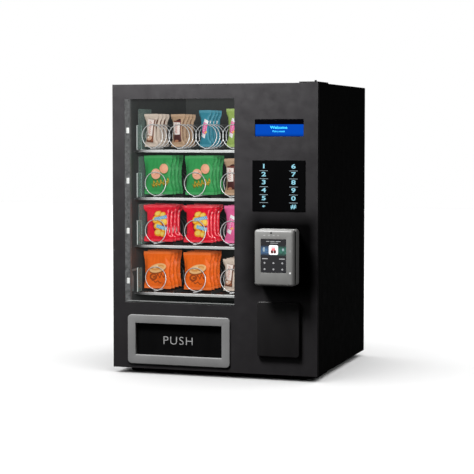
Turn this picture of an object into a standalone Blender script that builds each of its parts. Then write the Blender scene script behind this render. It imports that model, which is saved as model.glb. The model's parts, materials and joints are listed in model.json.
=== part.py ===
"""A countertop snack vending machine: steel cabinet, glass-fronted door with its controls and delivery flap,
four trays of motor-driven product coils, and a row of snack bags in each coil.

Metres, +Z up. The door faces -Y and +X is to the viewer's right. The origin is on the ground, under the middle
of the machine's bounding box. A single box is written as two corners, low and high.
"""

import math

import bmesh
import bpy
from mathutils import Matrix, Vector

MM = 0.001

# Overall size
WIDTH = 600 * MM
BODY_HEIGHT = 800 * MM
FOOT_HEIGHT = 16 * MM
BODY_DEPTH = 546 * MM  # front of the door to the back of the cabinet
READER_DEPTH = 60 * MM  # how far the card reader stands out of the door
SHEET = 2 * MM
GAP = 0.3 * MM  # between pieces that touch

LEFT = -WIDTH / 2
RIGHT = WIDTH / 2
BOTTOM = FOOT_HEIGHT
TOP = BOTTOM + BODY_HEIGHT
REAR = (BODY_DEPTH + READER_DEPTH) / 2
FRONT = REAR - BODY_DEPTH

# Door
DOOR_DEPTH = 20 * MM
DOOR_GAP = 4 * MM
DOOR_BACK = FRONT + DOOR_DEPTH
SKIN_BACK = FRONT + SHEET
HINGE_X = RIGHT - 9 * MM
HINGE_Y = FRONT + 8 * MM
HINGE_PIN_RADIUS = 3 * MM
HINGE_HOLE_RADIUS = 3.4 * MM

# Openings in the door's skin, as (left, right, bottom, top)
WINDOW = (-264 * MM, 62 * MM, 202 * MM, 775 * MM)
DISPLAY = (121 * MM, 260 * MM, 670 * MM, 718 * MM)
KEYPAD = (114.5 * MM, 264.5 * MM, 467 * MM, 606 * MM)
READER = (138 * MM, 246 * MM, 268 * MM, 421 * MM)
COVER = (130 * MM, 252 * MM, 66 * MM, 218 * MM)
FLAP_FRAME = (-255 * MM, 50 * MM, 28 * MM, 168 * MM)
FLAP_OPENING = (-231 * MM, 25.5 * MM, 54 * MM, 144 * MM)

# Cabinet
CABINET_FRONT = DOOR_BACK + DOOR_GAP
FLANGE = 8 * MM
BAY_LEFT = -276 * MM  # inner faces of the product bay's two walls
BAY_RIGHT = 70 * MM
LEDGE = 3 * MM

# Product trays
TRAY_FRONT = FRONT + 100 * MM
TRAY_LEFT = -268 * MM
TRAY_RIGHT = 61 * MM
TOP_FLOOR = 631 * MM
ROW_PITCH = 137 * MM
PRICE_RAIL_ABOVE = 1 * MM
PRICE_RAIL_BELOW = 7.2 * MM
GUIDE_DEPTH = 103 * MM
HIGH_GUIDE = 118 * MM
LOW_GUIDE = 72 * MM
LIP_HEIGHT = 25 * MM

# Product coils
COIL_RADIUS = 34.5 * MM
WIRE_RADIUS = 2 * MM
COIL_PITCH = 30 * MM
COIL_TURNS = 8
COIL_STEPS = 8  # straight pieces in one turn
COIL_FRONT = TRAY_FRONT + 4 * MM
COIL_AXIS_ABOVE = COIL_RADIUS + WIRE_RADIUS + 2.5 * MM
TRAY_BACK = COIL_FRONT + COIL_PITCH * COIL_TURNS + 20 * MM

# Snack bags. Each stands between two turns of its coil, so it is turned a little about the vertical.
BAGS_IN_COIL = 4
BAG_SLANT = -0.12
BAG_HALF_THICKNESS = 7 * MM
BAG_CLEARANCE = 9 * MM  # from the tray's floor to the bag's lower seal
BAR_WIDTH = 44 * MM
WIDE_WIDTH = 88 * MM


def bar_lanes(bags):
    """Four narrow lanes, each as coil centre, bag centre, bag width, bag height and film."""
    return [
        (x * MM, (x - 9) * MM, BAR_WIDTH, height * MM, film)
        for x, (height, film) in zip((-226, -144, -62, 20), bags)
    ]


def mixed_lanes(wide, narrow):
    """Two wide lanes and a narrow one, in the same form."""
    return [
        (-217 * MM, -217 * MM, WIDE_WIDTH, wide[0] * MM, wide[1]),
        (-96 * MM, -94 * MM, WIDE_WIDTH, wide[0] * MM, wide[1]),
        (13 * MM, 9 * MM, BAR_WIDTH, narrow[0] * MM, narrow[1]),
    ]


BAR_RIBS = (-185 * MM, -103 * MM, -21 * MM)
MIXED_RIBS = (-156.5 * MM, -39.5 * MM)

BAR_BAGS = ((95, "film_cream"), (94, "film_tan"), (105, "film_teal"), (109, "film_lime"))

# Each tray from the top down: floor, lanes, ribs between the lanes, and height of the left guide
TRAYS = [
    (TOP_FLOOR, bar_lanes(BAR_BAGS), BAR_RIBS, HIGH_GUIDE),
    (
        TOP_FLOOR - ROW_PITCH,
        mixed_lanes((112, "film_green"), (104, "film_tan")),
        MIXED_RIBS,
        HIGH_GUIDE,
    ),
    (
        TOP_FLOOR - 2 * ROW_PITCH,
        mixed_lanes((106, "film_red"), (107, "film_pink")),
        MIXED_RIBS,
        HIGH_GUIDE,
    ),
    (
        TOP_FLOOR - 3 * ROW_PITCH,
        mixed_lanes((108, "film_orange"), (91, "film_cream")),
        MIXED_RIBS,
        LOW_GUIDE,
    ),
]

# Delivery flap
FLAP_AXIS_Y = FRONT + 7 * MM
FLAP_AXIS_Z = FLAP_OPENING[3] + 7 * MM
FLAP_ROD_RADIUS = 2.5 * MM
FLAP_THICKNESS = 3 * MM
BIN_BACK = TRAY_FRONT + 33 * MM

# Door lock, in the left side panel
LOCK_Y = CABINET_FRONT + 24 * MM
LOCK_Z = 300 * MM
LOCK_RADIUS = 9 * MM

MATERIALS = {
    "black_steel": ((0.035, 0.034, 0.036), 0.42, 0.0),
    "dark_steel": ((0.06, 0.06, 0.062), 0.5, 0.2),
    "white_tray": ((0.72, 0.73, 0.74), 0.4, 0.0),
    "wire": ((0.8, 0.8, 0.82), 0.25, 0.9),
    "glass": ((0.75, 0.85, 0.82), 0.05, 0.0),
    "grey_trim": ((0.24, 0.24, 0.24), 0.45, 0.1),
    "black_plastic": ((0.015, 0.015, 0.016), 0.35, 0.0),
    "reader_grey": ((0.3, 0.3, 0.29), 0.4, 0.1),
    "rubber": ((0.02, 0.02, 0.02), 0.8, 0.0),
    "light_strip": ((0.55, 0.56, 0.57), 0.4, 0.0),
    "lock_metal": ((0.6, 0.6, 0.6), 0.3, 1.0),
    "film_cream": ((0.72, 0.66, 0.58), 0.35, 0.0),
    "film_tan": ((0.5, 0.36, 0.22), 0.4, 0.0),
    "film_teal": ((0.03, 0.28, 0.38), 0.35, 0.0),
    "film_lime": ((0.35, 0.52, 0.12), 0.35, 0.0),
    "film_green": ((0.04, 0.38, 0.13), 0.4, 0.0),
    "film_red": ((0.65, 0.01, 0.03), 0.2, 0.0),
    "film_pink": ((0.8, 0.16, 0.35), 0.35, 0.0),
    "film_orange": ((0.85, 0.2, 0.02), 0.4, 0.0),
}


def clear_scene():
    for obj in list(bpy.data.objects):
        bpy.data.objects.remove(obj, do_unlink=True)


def make_material(name):
    """The named Principled material, made on first use."""
    found = bpy.data.materials.get(name)
    if found:
        return found
    colour, roughness, metallic = MATERIALS[name]
    made = bpy.data.materials.new(name)
    made.use_nodes = True
    shader = made.node_tree.nodes["Principled BSDF"]
    shader.inputs["Base Color"].default_value = (*colour, 1)
    shader.inputs["Roughness"].default_value = roughness
    shader.inputs["Metallic"].default_value = metallic
    return made


def make_empty(name, point):
    """An empty on a joint's axis, for the pieces that turn or slide together."""
    empty = bpy.data.objects.new(name, None)
    empty.location = point
    bpy.context.scene.collection.objects.link(empty)
    return empty


def add_object(name, bm, material=None, origin=(0, 0, 0), parent=None):
    """An object from a bmesh in world coordinates, with its own origin at the given point."""
    bm.normal_update()
    mesh = bpy.data.meshes.new(name)
    bm.transform(Matrix.Translation(-Vector(origin)))
    bm.to_mesh(mesh)
    bm.free()
    obj = bpy.data.objects.new(name, mesh)
    obj.location = Vector(origin) - (parent.location if parent else Vector())
    obj.parent = parent
    obj["origin"] = list(origin)
    if material:
        mesh.materials.append(make_material(material))
    bpy.context.scene.collection.objects.link(obj)
    return obj


def box_bmesh(low, high):
    bm = bmesh.new()
    size = Vector(high) - Vector(low)
    middle = (Vector(high) + Vector(low)) / 2
    matrix = Matrix.Translation(middle) @ Matrix.Diagonal((*size, 1))
    bmesh.ops.create_cube(bm, size=1, matrix=matrix)
    return bm


def cylinder_bmesh(start, end, radius, sides):
    """A cylinder between two points."""
    bm = bmesh.new()
    along = Vector(end) - Vector(start)
    turn = along.to_track_quat("Z", "Y").to_matrix().to_4x4()
    matrix = Matrix.Translation((Vector(start) + Vector(end)) / 2) @ turn
    bmesh.ops.create_cone(
        bm,
        cap_ends=True,
        segments=sides,
        radius1=radius,
        radius2=radius,
        depth=along.length,
        matrix=matrix,
    )
    return bm


def rounded_bmesh(sides, front, back, radius, steps=3):
    """A plate facing -Y with round corners; sides is (left, right, bottom, top)."""
    left, right, bottom, top = sides
    corners = [
        (right - radius, top - radius, 0),
        (left + radius, top - radius, 90),
        (left + radius, bottom + radius, 180),
        (right - radius, bottom + radius, 270),
    ]
    bm = bmesh.new()
    points = []
    for x, z, start in corners:
        for i in range(steps + 1):
            angle = math.radians(start + 90 * i / steps)
            points.append((x + radius * math.cos(angle), z + radius * math.sin(angle)))
    face = bm.faces.new([bm.verts.new((x, front, z)) for x, z in points])
    moved = bmesh.ops.extrude_face_region(bm, geom=[face])["geom"]
    shift = [v for v in moved if isinstance(v, bmesh.types.BMVert)]
    bmesh.ops.translate(bm, vec=(0, back - front, 0), verts=shift)
    bmesh.ops.recalc_face_normals(bm, faces=bm.faces)
    return bm


def tube_bmesh(points, radius, sides):
    """A closed tube along the points, its rings carried along without twisting."""
    bm = bmesh.new()
    points = [Vector(p) for p in points]
    tangents = []
    for i in range(len(points)):
        before = points[max(i - 1, 0)]
        after = points[min(i + 1, len(points) - 1)]
        tangents.append((after - before).normalized())
    across = tangents[0].orthogonal().normalized()
    rings = []
    for point, tangent in zip(points, tangents):
        across = (across - tangent * across.dot(tangent)).normalized()
        other = tangent.cross(across)
        ring = []
        for k in range(sides):
            angle = 2 * math.pi * k / sides
            offset = across * math.cos(angle) + other * math.sin(angle)
            ring.append(bm.verts.new(point + radius * offset))
        rings.append(ring)
    bridge_rings(bm, rings)
    return bm


def bridge_rings(bm, rings):
    """Faces between each ring and the next, and a cap on each end."""
    count = len(rings[0])
    for first, second in zip(rings, rings[1:]):
        for k in range(count):
            after = (k + 1) % count
            bm.faces.new((first[k], first[after], second[after], second[k]))
    bm.faces.new(list(reversed(rings[0])))
    bm.faces.new(rings[-1])
    bmesh.ops.recalc_face_normals(bm, faces=bm.faces)


def boolean(obj, bm, operation):
    """Adds a Boolean whose helper mesh is a hidden child of the object."""
    helper = add_object(obj.name + "_helper", bm, origin=obj["origin"])
    helper.parent = obj
    helper.location = (0, 0, 0)
    helper.hide_render = True
    helper.display_type = "WIRE"
    modifier = obj.modifiers.new(operation.title(), "BOOLEAN")
    modifier.operation = operation
    modifier.object = helper


def add_box(name, low, high, material, origin=(0, 0, 0), parent=None):
    return add_object(name, box_bmesh(low, high), material, origin, parent)


def join_box(obj, low, high):
    boolean(obj, box_bmesh(low, high), "UNION")


def cut_box(obj, low, high):
    boolean(obj, box_bmesh(low, high), "DIFFERENCE")


def grown(sides, by):
    """An opening made larger by the same amount all round, or smaller where by is negative."""
    left, right, bottom, top = sides
    return (left - by, right + by, bottom - by, top + by)


def between(sides, front, back):
    """The low and high corner of a box behind an opening of the door."""
    left, right, bottom, top = sides
    return (left, front, bottom), (right, back, top)


# Cabinet


def build_side_panels():
    for name, sign in (("side_panel_left", -1), ("side_panel_right", 1)):
        outer = sign * RIGHT
        inner = outer - sign * SHEET
        low_z = BOTTOM + SHEET + GAP
        high_z = TOP - SHEET - GAP

        def span(a, b, y0, y1):
            return (min(a, b), y0, low_z), (max(a, b), y1, high_z)

        panel = add_box(name, *span(outer, inner, CABINET_FRONT, REAR), "black_steel")
        tip = inner - sign * FLANGE
        join_box(panel, *span(outer - sign * MM, tip, CABINET_FRONT, CABINET_FRONT + SHEET))
        back = REAR - SHEET - GAP
        join_box(panel, *span(outer - sign * MM, tip, back - SHEET, back))
        if sign < 0:
            hole = cylinder_bmesh(
                (LEFT - 5 * MM, LOCK_Y, LOCK_Z),
                (LEFT + 5 * MM, LOCK_Y, LOCK_Z),
                LOCK_RADIUS + 0.5 * MM,
                16,
            )
            boolean(panel, hole, "DIFFERENCE")


def build_top_and_base():
    flange_left = LEFT + SHEET + FLANGE + 2 * MM
    top = add_box(
        "top_panel", (LEFT, CABINET_FRONT, TOP - SHEET), (RIGHT, REAR, TOP), "black_steel"
    )
    join_box(
        top,
        (flange_left, CABINET_FRONT, TOP - 18 * MM),
        (-flange_left, CABINET_FRONT + SHEET, TOP - MM),
    )
    base = add_box(
        "base_panel",
        (LEFT, CABINET_FRONT, BOTTOM),
        (RIGHT, REAR, BOTTOM + SHEET),
        "black_steel",
    )
    join_box(
        base,
        (flange_left, CABINET_FRONT, BOTTOM + MM),
        (-flange_left, CABINET_FRONT + SHEET, BOTTOM + 18 * MM),
    )


VENT_SLOT = (64 * MM, 6 * MM)
VENT_PITCH = 14 * MM
VENT_ROWS = 7
VENT_COLUMNS = (120 * MM, 210 * MM)
VENT_LEVELS = (130 * MM, 640 * MM)
INLET = (-262 * MM, -214 * MM, 62 * MM, 90 * MM)


def build_rear_panel():
    edge = SHEET + 0.5 * MM
    panel = add_box(
        "rear_panel",
        (LEFT + edge, REAR - SHEET, BOTTOM + edge),
        (RIGHT - edge, REAR, TOP - edge),
        "black_steel",
    )
    slots = bmesh.new()
    for level in VENT_LEVELS:
        for x in VENT_COLUMNS:
            for row in range(VENT_ROWS):
                middle = (x, REAR - SHEET / 2, level + row * VENT_PITCH)
                size = (VENT_SLOT[0], 3 * SHEET, VENT_SLOT[1], 1)
                matrix = Matrix.Translation(middle) @ Matrix.Diagonal(size)
                bmesh.ops.create_cube(slots, size=1, matrix=matrix)
    boolean(panel, slots, "DIFFERENCE")
    cut_box(panel, *between(grown(INLET, GAP), REAR - 3 * SHEET, REAR + SHEET))


def build_power_inlet():
    """The mains socket in the rear panel, flush with it."""
    inlet = add_box(
        "power_inlet", *between(INLET, REAR - 26 * MM, REAR - GAP), "black_plastic"
    )
    cut_box(inlet, *between(grown(INLET, -6 * MM), REAR - 18 * MM, REAR + SHEET))


def build_bay_walls():
    """The product bay's two walls, with the ledges that carry the trays."""
    back = REAR - 3 * SHEET
    low_z = BOTTOM + SHEET + GAP
    high_z = TOP - SHEET - GAP
    front = CABINET_FRONT + 5 * MM
    left = add_box(
        "bay_left_wall",
        (BAY_LEFT - SHEET, front, low_z),
        (BAY_LEFT, back, high_z),
        "dark_steel",
    )
    right = add_box(
        "bay_divider",
        (BAY_RIGHT, front, low_z),
        (BAY_RIGHT + SHEET, back, high_z),
        "dark_steel",
    )
    for floor, _, _, _ in TRAYS:
        top = floor - SHEET - GAP
        join_box(
            left,
            (BAY_LEFT - MM, TRAY_FRONT + 3 * MM, top - LEDGE),
            (TRAY_LEFT + 6 * MM, TRAY_BACK, top),
        )
        join_box(
            right,
            (TRAY_RIGHT - 6 * MM, TRAY_FRONT + 3 * MM, top - LEDGE),
            (BAY_RIGHT + MM, TRAY_BACK, top),
        )


def build_feet():
    inset_x = RIGHT - 45 * MM
    spots = {
        "foot_front_left": (-inset_x, CABINET_FRONT + 50 * MM),
        "foot_front_right": (inset_x - 30 * MM, CABINET_FRONT + 50 * MM),
        "foot_rear_left": (-inset_x, REAR - 45 * MM),
        "foot_rear_right": (inset_x - 30 * MM, REAR - 45 * MM),
    }
    for name, (x, y) in spots.items():
        pad = cylinder_bmesh((x, y, 0), (x, y, 11 * MM), 17 * MM, 20)
        foot = add_object(name, pad, "rubber", (x, y, 0))
        stud = cylinder_bmesh((x, y, 5 * MM), (x, y, FOOT_HEIGHT - GAP), 6 * MM, 10)
        boolean(foot, stud, "UNION")


def build_delivery_bin():
    """The open-topped trough that the bags drop into, behind the flap."""
    floor = 44 * MM
    rim = 190 * MM
    left = BAY_LEFT + 0.5 * MM
    right = BAY_RIGHT - 0.5 * MM
    front = CABINET_FRONT + 5 * MM
    trough = add_box("delivery_bin", (left, front, floor), (right, BIN_BACK, rim), "dark_steel")
    cut_box(
        trough,
        (left + SHEET, front - SHEET, floor + SHEET),
        (right - SHEET, BIN_BACK - SHEET, rim + SHEET),
    )


def build_hinge_brackets():
    """Two plates that reach over and under the door, each with the pin that the door turns on."""
    plate = 3 * MM
    pin_reach = 12 * MM
    inner = RIGHT - 54 * MM
    for name, low_z, pin_low, pin_high in (
        ("hinge_bracket_top", TOP + GAP, TOP - pin_reach, TOP + 7 * MM),
        ("hinge_bracket_bottom", BOTTOM - GAP - plate, BOTTOM - GAP - plate, BOTTOM + pin_reach),
    ):
        bracket = add_box(
            name,
            (inner, FRONT + 3 * MM, low_z),
            (RIGHT - SHEET, FRONT + 115 * MM, low_z + plate),
            "black_steel",
        )
        pin = cylinder_bmesh(
            (HINGE_X, HINGE_Y, pin_low), (HINGE_X, HINGE_Y, pin_high), HINGE_PIN_RADIUS, 12
        )
        boolean(bracket, pin, "UNION")


# Trays, coils and bags


def build_tray(number, floor, ribs, guide):
    """A steel tray: floor, front price rail, tall left guide, side and rear lips, and ribs between lanes."""
    tray = add_box(
        f"tray_{number}",
        (TRAY_LEFT, TRAY_FRONT, floor - SHEET),
        (TRAY_RIGHT, TRAY_BACK, floor),
        "white_tray",
    )
    join_box(
        tray,
        (TRAY_LEFT, TRAY_FRONT - 3 * MM, floor - PRICE_RAIL_BELOW),
        (TRAY_RIGHT, TRAY_FRONT + MM, floor + PRICE_RAIL_ABOVE),
    )
    join_box(
        tray,
        (TRAY_LEFT, TRAY_FRONT + 0.5 * MM, floor - MM),
        (TRAY_LEFT + SHEET, TRAY_FRONT + GUIDE_DEPTH, floor + guide),
    )
    join_box(
        tray,
        (TRAY_LEFT, TRAY_FRONT + GUIDE_DEPTH - MM, floor - MM),
        (TRAY_LEFT + SHEET, TRAY_BACK, floor + LIP_HEIGHT),
    )
    join_box(
        tray,
        (TRAY_RIGHT - SHEET, TRAY_FRONT + 0.5 * MM, floor - MM),
        (TRAY_RIGHT, TRAY_BACK, floor + LIP_HEIGHT),
    )
    join_box(
        tray,
        (TRAY_LEFT, TRAY_BACK - SHEET, floor - MM),
        (TRAY_RIGHT, TRAY_BACK, floor + 18 * MM),
    )
    for x in ribs:
        join_box(
            tray,
            (x - MM, TRAY_FRONT + 3 * MM, floor - MM),
            (x + MM, TRAY_BACK - MM, floor + 8 * MM),
        )


def build_motor_bank(number, floor, lanes):
    """The carrier behind a tray, with a gear motor's case for each coil."""
    front = TRAY_BACK + MM
    carrier = add_box(
        f"motor_bank_{number}",
        (TRAY_LEFT + 6 * MM, front, floor + 4 * MM),
        (TRAY_RIGHT - 6 * MM, front + 3 * MM, floor + 66 * MM),
        "dark_steel",
    )
    for coil_x in [lane[0] for lane in lanes]:
        join_box(
            carrier,
            (coil_x - 24 * MM, front + 2 * MM, floor + 10 * MM),
            (coil_x + 24 * MM, front + 38 * MM, floor + 62 * MM),
        )


def coil_points(x, axis_z):
    """The wire's centre line: turns from the front, starting at the bottom, then a tail on the axis."""
    points = []
    for i in range(COIL_TURNS * COIL_STEPS + 1):
        turn = i / COIL_STEPS
        angle = 2 * math.pi * turn
        points.append(
            (
                x + COIL_RADIUS * math.sin(angle),
                COIL_FRONT + COIL_PITCH * turn,
                axis_z - COIL_RADIUS * math.cos(angle),
            )
        )
    end = COIL_FRONT + COIL_PITCH * COIL_TURNS
    points.append((x, end + 5 * MM, axis_z - 0.5 * COIL_RADIUS))
    points.append((x, end + 8 * MM, axis_z))
    points.append((x, TRAY_BACK + 0.5 * MM, axis_z))
    return points


def build_coil(name, x, floor):
    axis_z = floor + COIL_AXIS_ABOVE
    wire = tube_bmesh(coil_points(x, axis_z), WIRE_RADIUS, 3)
    add_object(name, wire, "wire", (x, COIL_FRONT, axis_z))


def build_bags(name, lane, floor):
    """One lane's bags as a single comb: pillow shapes joined by a core on the coil's axis."""
    coil_x, bag_x, width, height, film = lane
    axis_z = floor + COIL_AXIS_ABOVE
    low = floor + BAG_CLEARANCE
    core = 5 * MM
    outer = (bag_x - width / 2, bag_x + width / 2, low, low + height)
    inner = (
        bag_x - width / 4,
        bag_x + width / 4,
        low + height * 0.2,
        low + height * 0.8,
    )
    spine = (coil_x - core, coil_x + core, axis_z - core, axis_z + core)
    bm = bmesh.new()
    rings = []

    def add_ring(sides, y):
        left, right, bottom, top = sides
        corners = ((left, bottom), (right, bottom), (right, top), (left, top))
        slanted = [(x, y + BAG_SLANT * (x - coil_x), z) for x, z in corners]
        rings.append([bm.verts.new(point) for point in slanted])

    for number in range(1, BAGS_IN_COIL + 1):
        middle = COIL_FRONT + COIL_PITCH * number
        if number > 1:
            add_ring(spine, middle - BAG_HALF_THICKNESS)
        add_ring(inner, middle - BAG_HALF_THICKNESS)
        add_ring(outer, middle)
        add_ring(inner, middle + BAG_HALF_THICKNESS)
        if number < BAGS_IN_COIL:
            add_ring(spine, middle + BAG_HALF_THICKNESS)
    bridge_rings(bm, rings)
    add_object(name, bm, film, (coil_x, COIL_FRONT, axis_z))


def build_trays():
    for number, (floor, lanes, ribs, guide) in enumerate(TRAYS, start=1):
        build_tray(number, floor, ribs, guide)
        build_motor_bank(number, floor, lanes)
        for place, lane in enumerate(lanes, start=1):
            build_coil(f"coil_{number}_{place}", lane[0], floor)
            build_bags(f"snacks_{number}_{place}", lane, floor)


# Door


def build_door_panel(door):
    """The folded door: a skin with its cut-outs, a rim all round, and the hook that the lock holds."""
    panel = add_box(
        "door_panel",
        (LEFT, FRONT, BOTTOM),
        (RIGHT, DOOR_BACK, TOP),
        "black_steel",
        door.location,
        door,
    )
    cut_box(
        panel,
        (LEFT + SHEET, SKIN_BACK, BOTTOM + SHEET),
        (RIGHT - SHEET, DOOR_BACK + SHEET, TOP - SHEET),
    )
    openings = (
        WINDOW,
        grown(FLAP_OPENING, 5 * MM),
        DISPLAY,
        grown(KEYPAD, -9.5 * MM),
        (172 * MM, 212 * MM, 320 * MM, 370 * MM),
        grown(COVER, -12 * MM),
    )
    for opening in openings:
        cut_box(panel, *between(opening, FRONT - SHEET, SKIN_BACK + SHEET))
    for z in (BOTTOM, TOP):
        hole = cylinder_bmesh(
            (HINGE_X, HINGE_Y, z - 4 * MM), (HINGE_X, HINGE_Y, z + 4 * MM), HINGE_HOLE_RADIUS, 12
        )
        boolean(panel, hole, "DIFFERENCE")
    hook_x = LEFT + 19 * MM
    hook_back = LOCK_Y + 11 * MM
    hook_low = LOCK_Z - 34 * MM
    hook_high = LOCK_Z - 10 * MM
    join_box(
        panel,
        (hook_x, SKIN_BACK - MM, hook_low),
        (hook_x + SHEET, hook_back, hook_high),
    )
    join_box(
        panel,
        (hook_x - 6 * MM, hook_back - SHEET, hook_low),
        (hook_x + SHEET, hook_back, hook_high),
    )


def build_window(door):
    glass = grown(WINDOW, 6 * MM)
    add_box(
        "window_glass",
        *between(glass, SKIN_BACK + 0.5 * MM, SKIN_BACK + 4.5 * MM),
        "glass",
        door.location,
        door,
    )


def build_light_strip(door):
    """The lamp strip that shines on the packs, on a leg from the door's skin."""
    left = WINDOW[0] - 12 * MM
    low_z = WINDOW[2] - 6 * MM
    high_z = WINDOW[3] + 6 * MM
    strip = add_box(
        "led_strip",
        (left, SKIN_BACK + 19 * MM, low_z),
        (WINDOW[0] + 11 * MM, SKIN_BACK + 22 * MM, high_z),
        "light_strip",
        door.location,
        door,
    )
    join_box(strip, (left, SKIN_BACK + GAP, low_z), (left + SHEET, SKIN_BACK + 20 * MM, high_z))


def build_display(door):
    add_box(
        "display",
        *between(grown(DISPLAY, 4 * MM), SKIN_BACK + GAP, SKIN_BACK + 13 * MM),
        "black_plastic",
        door.location,
        door,
    )


def build_keypad(door):
    """A touch panel on the skin, with its circuit box behind the cut-out."""
    keypad = add_box(
        "keypad",
        *between(KEYPAD, FRONT - 2 * MM, FRONT - GAP),
        "black_plastic",
        door.location,
        door,
    )
    join_box(keypad, *between(grown(KEYPAD, -11 * MM), FRONT - MM, FRONT + 13 * MM))


def build_reader(door):
    """The card reader: a rear case with its stub through the skin, and a front with the screen's pocket."""
    case_front = FRONT - 40 * MM
    case = rounded_bmesh(READER, case_front, FRONT - GAP, 7 * MM)
    housing = add_object("reader_housing", case, "reader_grey", door.location, door)
    join_box(
        housing,
        (174 * MM, FRONT - 3 * MM, 322 * MM),
        (210 * MM, FRONT + 15 * MM, 368 * MM),
    )
    front = rounded_bmesh(READER, FRONT - READER_DEPTH, case_front - 0.5 * MM, 7 * MM)
    face = add_object("reader_front", front, "reader_grey", door.location, door)
    screen = (157 * MM, 228 * MM, 303 * MM, 394 * MM)
    cut_box(face, *between(screen, FRONT - READER_DEPTH - MM, FRONT - READER_DEPTH + 1.5 * MM))


def build_cover(door):
    """The plate over the cut-out for a banknote unit, a shell that is open at the back."""
    thickness = 10 * MM
    shape = rounded_bmesh(COVER, FRONT - thickness, FRONT - GAP, 9 * MM)
    cover = add_object("blanking_cover", shape, "black_steel", door.location, door)
    cut_box(cover, *between(grown(COVER, -4 * MM), FRONT - thickness + 3 * MM, FRONT + MM))


FRAME_SLEEVE = 4 * MM
SLEEVE_BACK = FRONT + 7 * MM


def build_flap_frame(door):
    """The grey bezel with its sleeve through the skin, and the two ears that hold the flap's rod."""
    shape = rounded_bmesh(FLAP_FRAME, FRONT - 4 * MM, FRONT - GAP, 12 * MM)
    frame = add_object("flap_frame", shape, "grey_trim", door.location, door)
    join_box(frame, *between(grown(FLAP_OPENING, FRAME_SLEEVE), FRONT - 2 * MM, SLEEVE_BACK))
    for low_x in (FLAP_OPENING[0] - FRAME_SLEEVE, FLAP_OPENING[1]):
        join_box(
            frame,
            (low_x, FRONT - MM, FLAP_AXIS_Z - 14 * MM),
            (low_x + FRAME_SLEEVE, FLAP_AXIS_Y + 6 * MM, FLAP_AXIS_Z - 3 * MM),
        )
        join_box(
            frame,
            (low_x, SKIN_BACK + 0.5 * MM, FLAP_AXIS_Z - 8 * MM),
            (low_x + FRAME_SLEEVE, FLAP_AXIS_Y + 6 * MM, FLAP_AXIS_Z + 6 * MM),
        )
    cut_box(frame, *between(FLAP_OPENING, FRONT - 8 * MM, SLEEVE_BACK + MM))
    hole = cylinder_bmesh(
        (FLAP_OPENING[0] - 8 * MM, FLAP_AXIS_Y, FLAP_AXIS_Z),
        (FLAP_OPENING[1] + 8 * MM, FLAP_AXIS_Y, FLAP_AXIS_Z),
        FLAP_ROD_RADIUS + 0.4 * MM,
        12,
    )
    boolean(frame, hole, "DIFFERENCE")


def build_flap(hinge):
    """The push flap, hung on a rod and stopped by the sleeve's back edge."""
    left = FLAP_OPENING[0] + 0.6 * MM
    right = FLAP_OPENING[1] - 0.6 * MM
    plate_front = SLEEVE_BACK + 0.5 * MM
    world = hinge.location + hinge.parent.location
    flap = add_object(
        "delivery_flap",
        box_bmesh(
            (left, plate_front, FLAP_OPENING[2] - 3 * MM),
            (right, plate_front + FLAP_THICKNESS, FLAP_AXIS_Z + MM),
        ),
        "black_plastic",
        world,
    )
    flap.parent = hinge
    flap.location = (0, 0, 0)
    rod = cylinder_bmesh(
        (FLAP_OPENING[0] - 3.5 * MM, FLAP_AXIS_Y, FLAP_AXIS_Z),
        (FLAP_OPENING[1] + 3.5 * MM, FLAP_AXIS_Y, FLAP_AXIS_Z),
        FLAP_ROD_RADIUS,
        12,
    )
    boolean(flap, rod, "UNION")
    join_box(
        flap,
        (left, FLAP_AXIS_Y, FLAP_AXIS_Z - 2 * MM),
        (right, plate_front + MM, FLAP_AXIS_Z + MM),
    )


def build_door():
    door = make_empty("door_hinge", (HINGE_X, HINGE_Y, BOTTOM))
    build_door_panel(door)
    build_window(door)
    build_light_strip(door)
    build_display(door)
    build_keypad(door)
    build_reader(door)
    build_cover(door)
    build_flap_frame(door)
    axis = Vector((FLAP_OPENING[0], FLAP_AXIS_Y, FLAP_AXIS_Z))
    hinge = make_empty("flap_hinge", axis - door.location)
    hinge.parent = door
    build_flap(hinge)


def build_lock():
    """The lock's barrel in the side panel, and the cam that swings in front of the door's hook."""
    cam_x = LEFT + 16 * MM
    barrel = cylinder_bmesh(
        (LEFT, LOCK_Y, LOCK_Z), (cam_x + MM, LOCK_Y, LOCK_Z), LOCK_RADIUS, 16
    )
    lock = add_object("door_lock", barrel, "lock_metal", (LEFT, LOCK_Y, LOCK_Z))
    join_box(
        lock,
        (cam_x, LOCK_Y - 24 * MM, LOCK_Z - 5 * MM),
        (cam_x + SHEET, LOCK_Y + 5 * MM, LOCK_Z + 5 * MM),
    )


def main():
    clear_scene()
    build_side_panels()
    build_top_and_base()
    build_rear_panel()
    build_power_inlet()
    build_bay_walls()
    build_feet()
    build_delivery_bin()
    build_hinge_brackets()
    build_trays()
    build_door()
    build_lock()


main()
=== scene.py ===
"""Looks for the snack vending machine: finished surfaces, snack bags, coils, lettering, lights and camera,
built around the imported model. Metres, in the model's own frame: the door faces -Y and +X is to the right of
somebody who stands before it.
"""

import json
import math

import bmesh
import bpy
import numpy as np
from mathutils import Matrix, Vector

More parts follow.
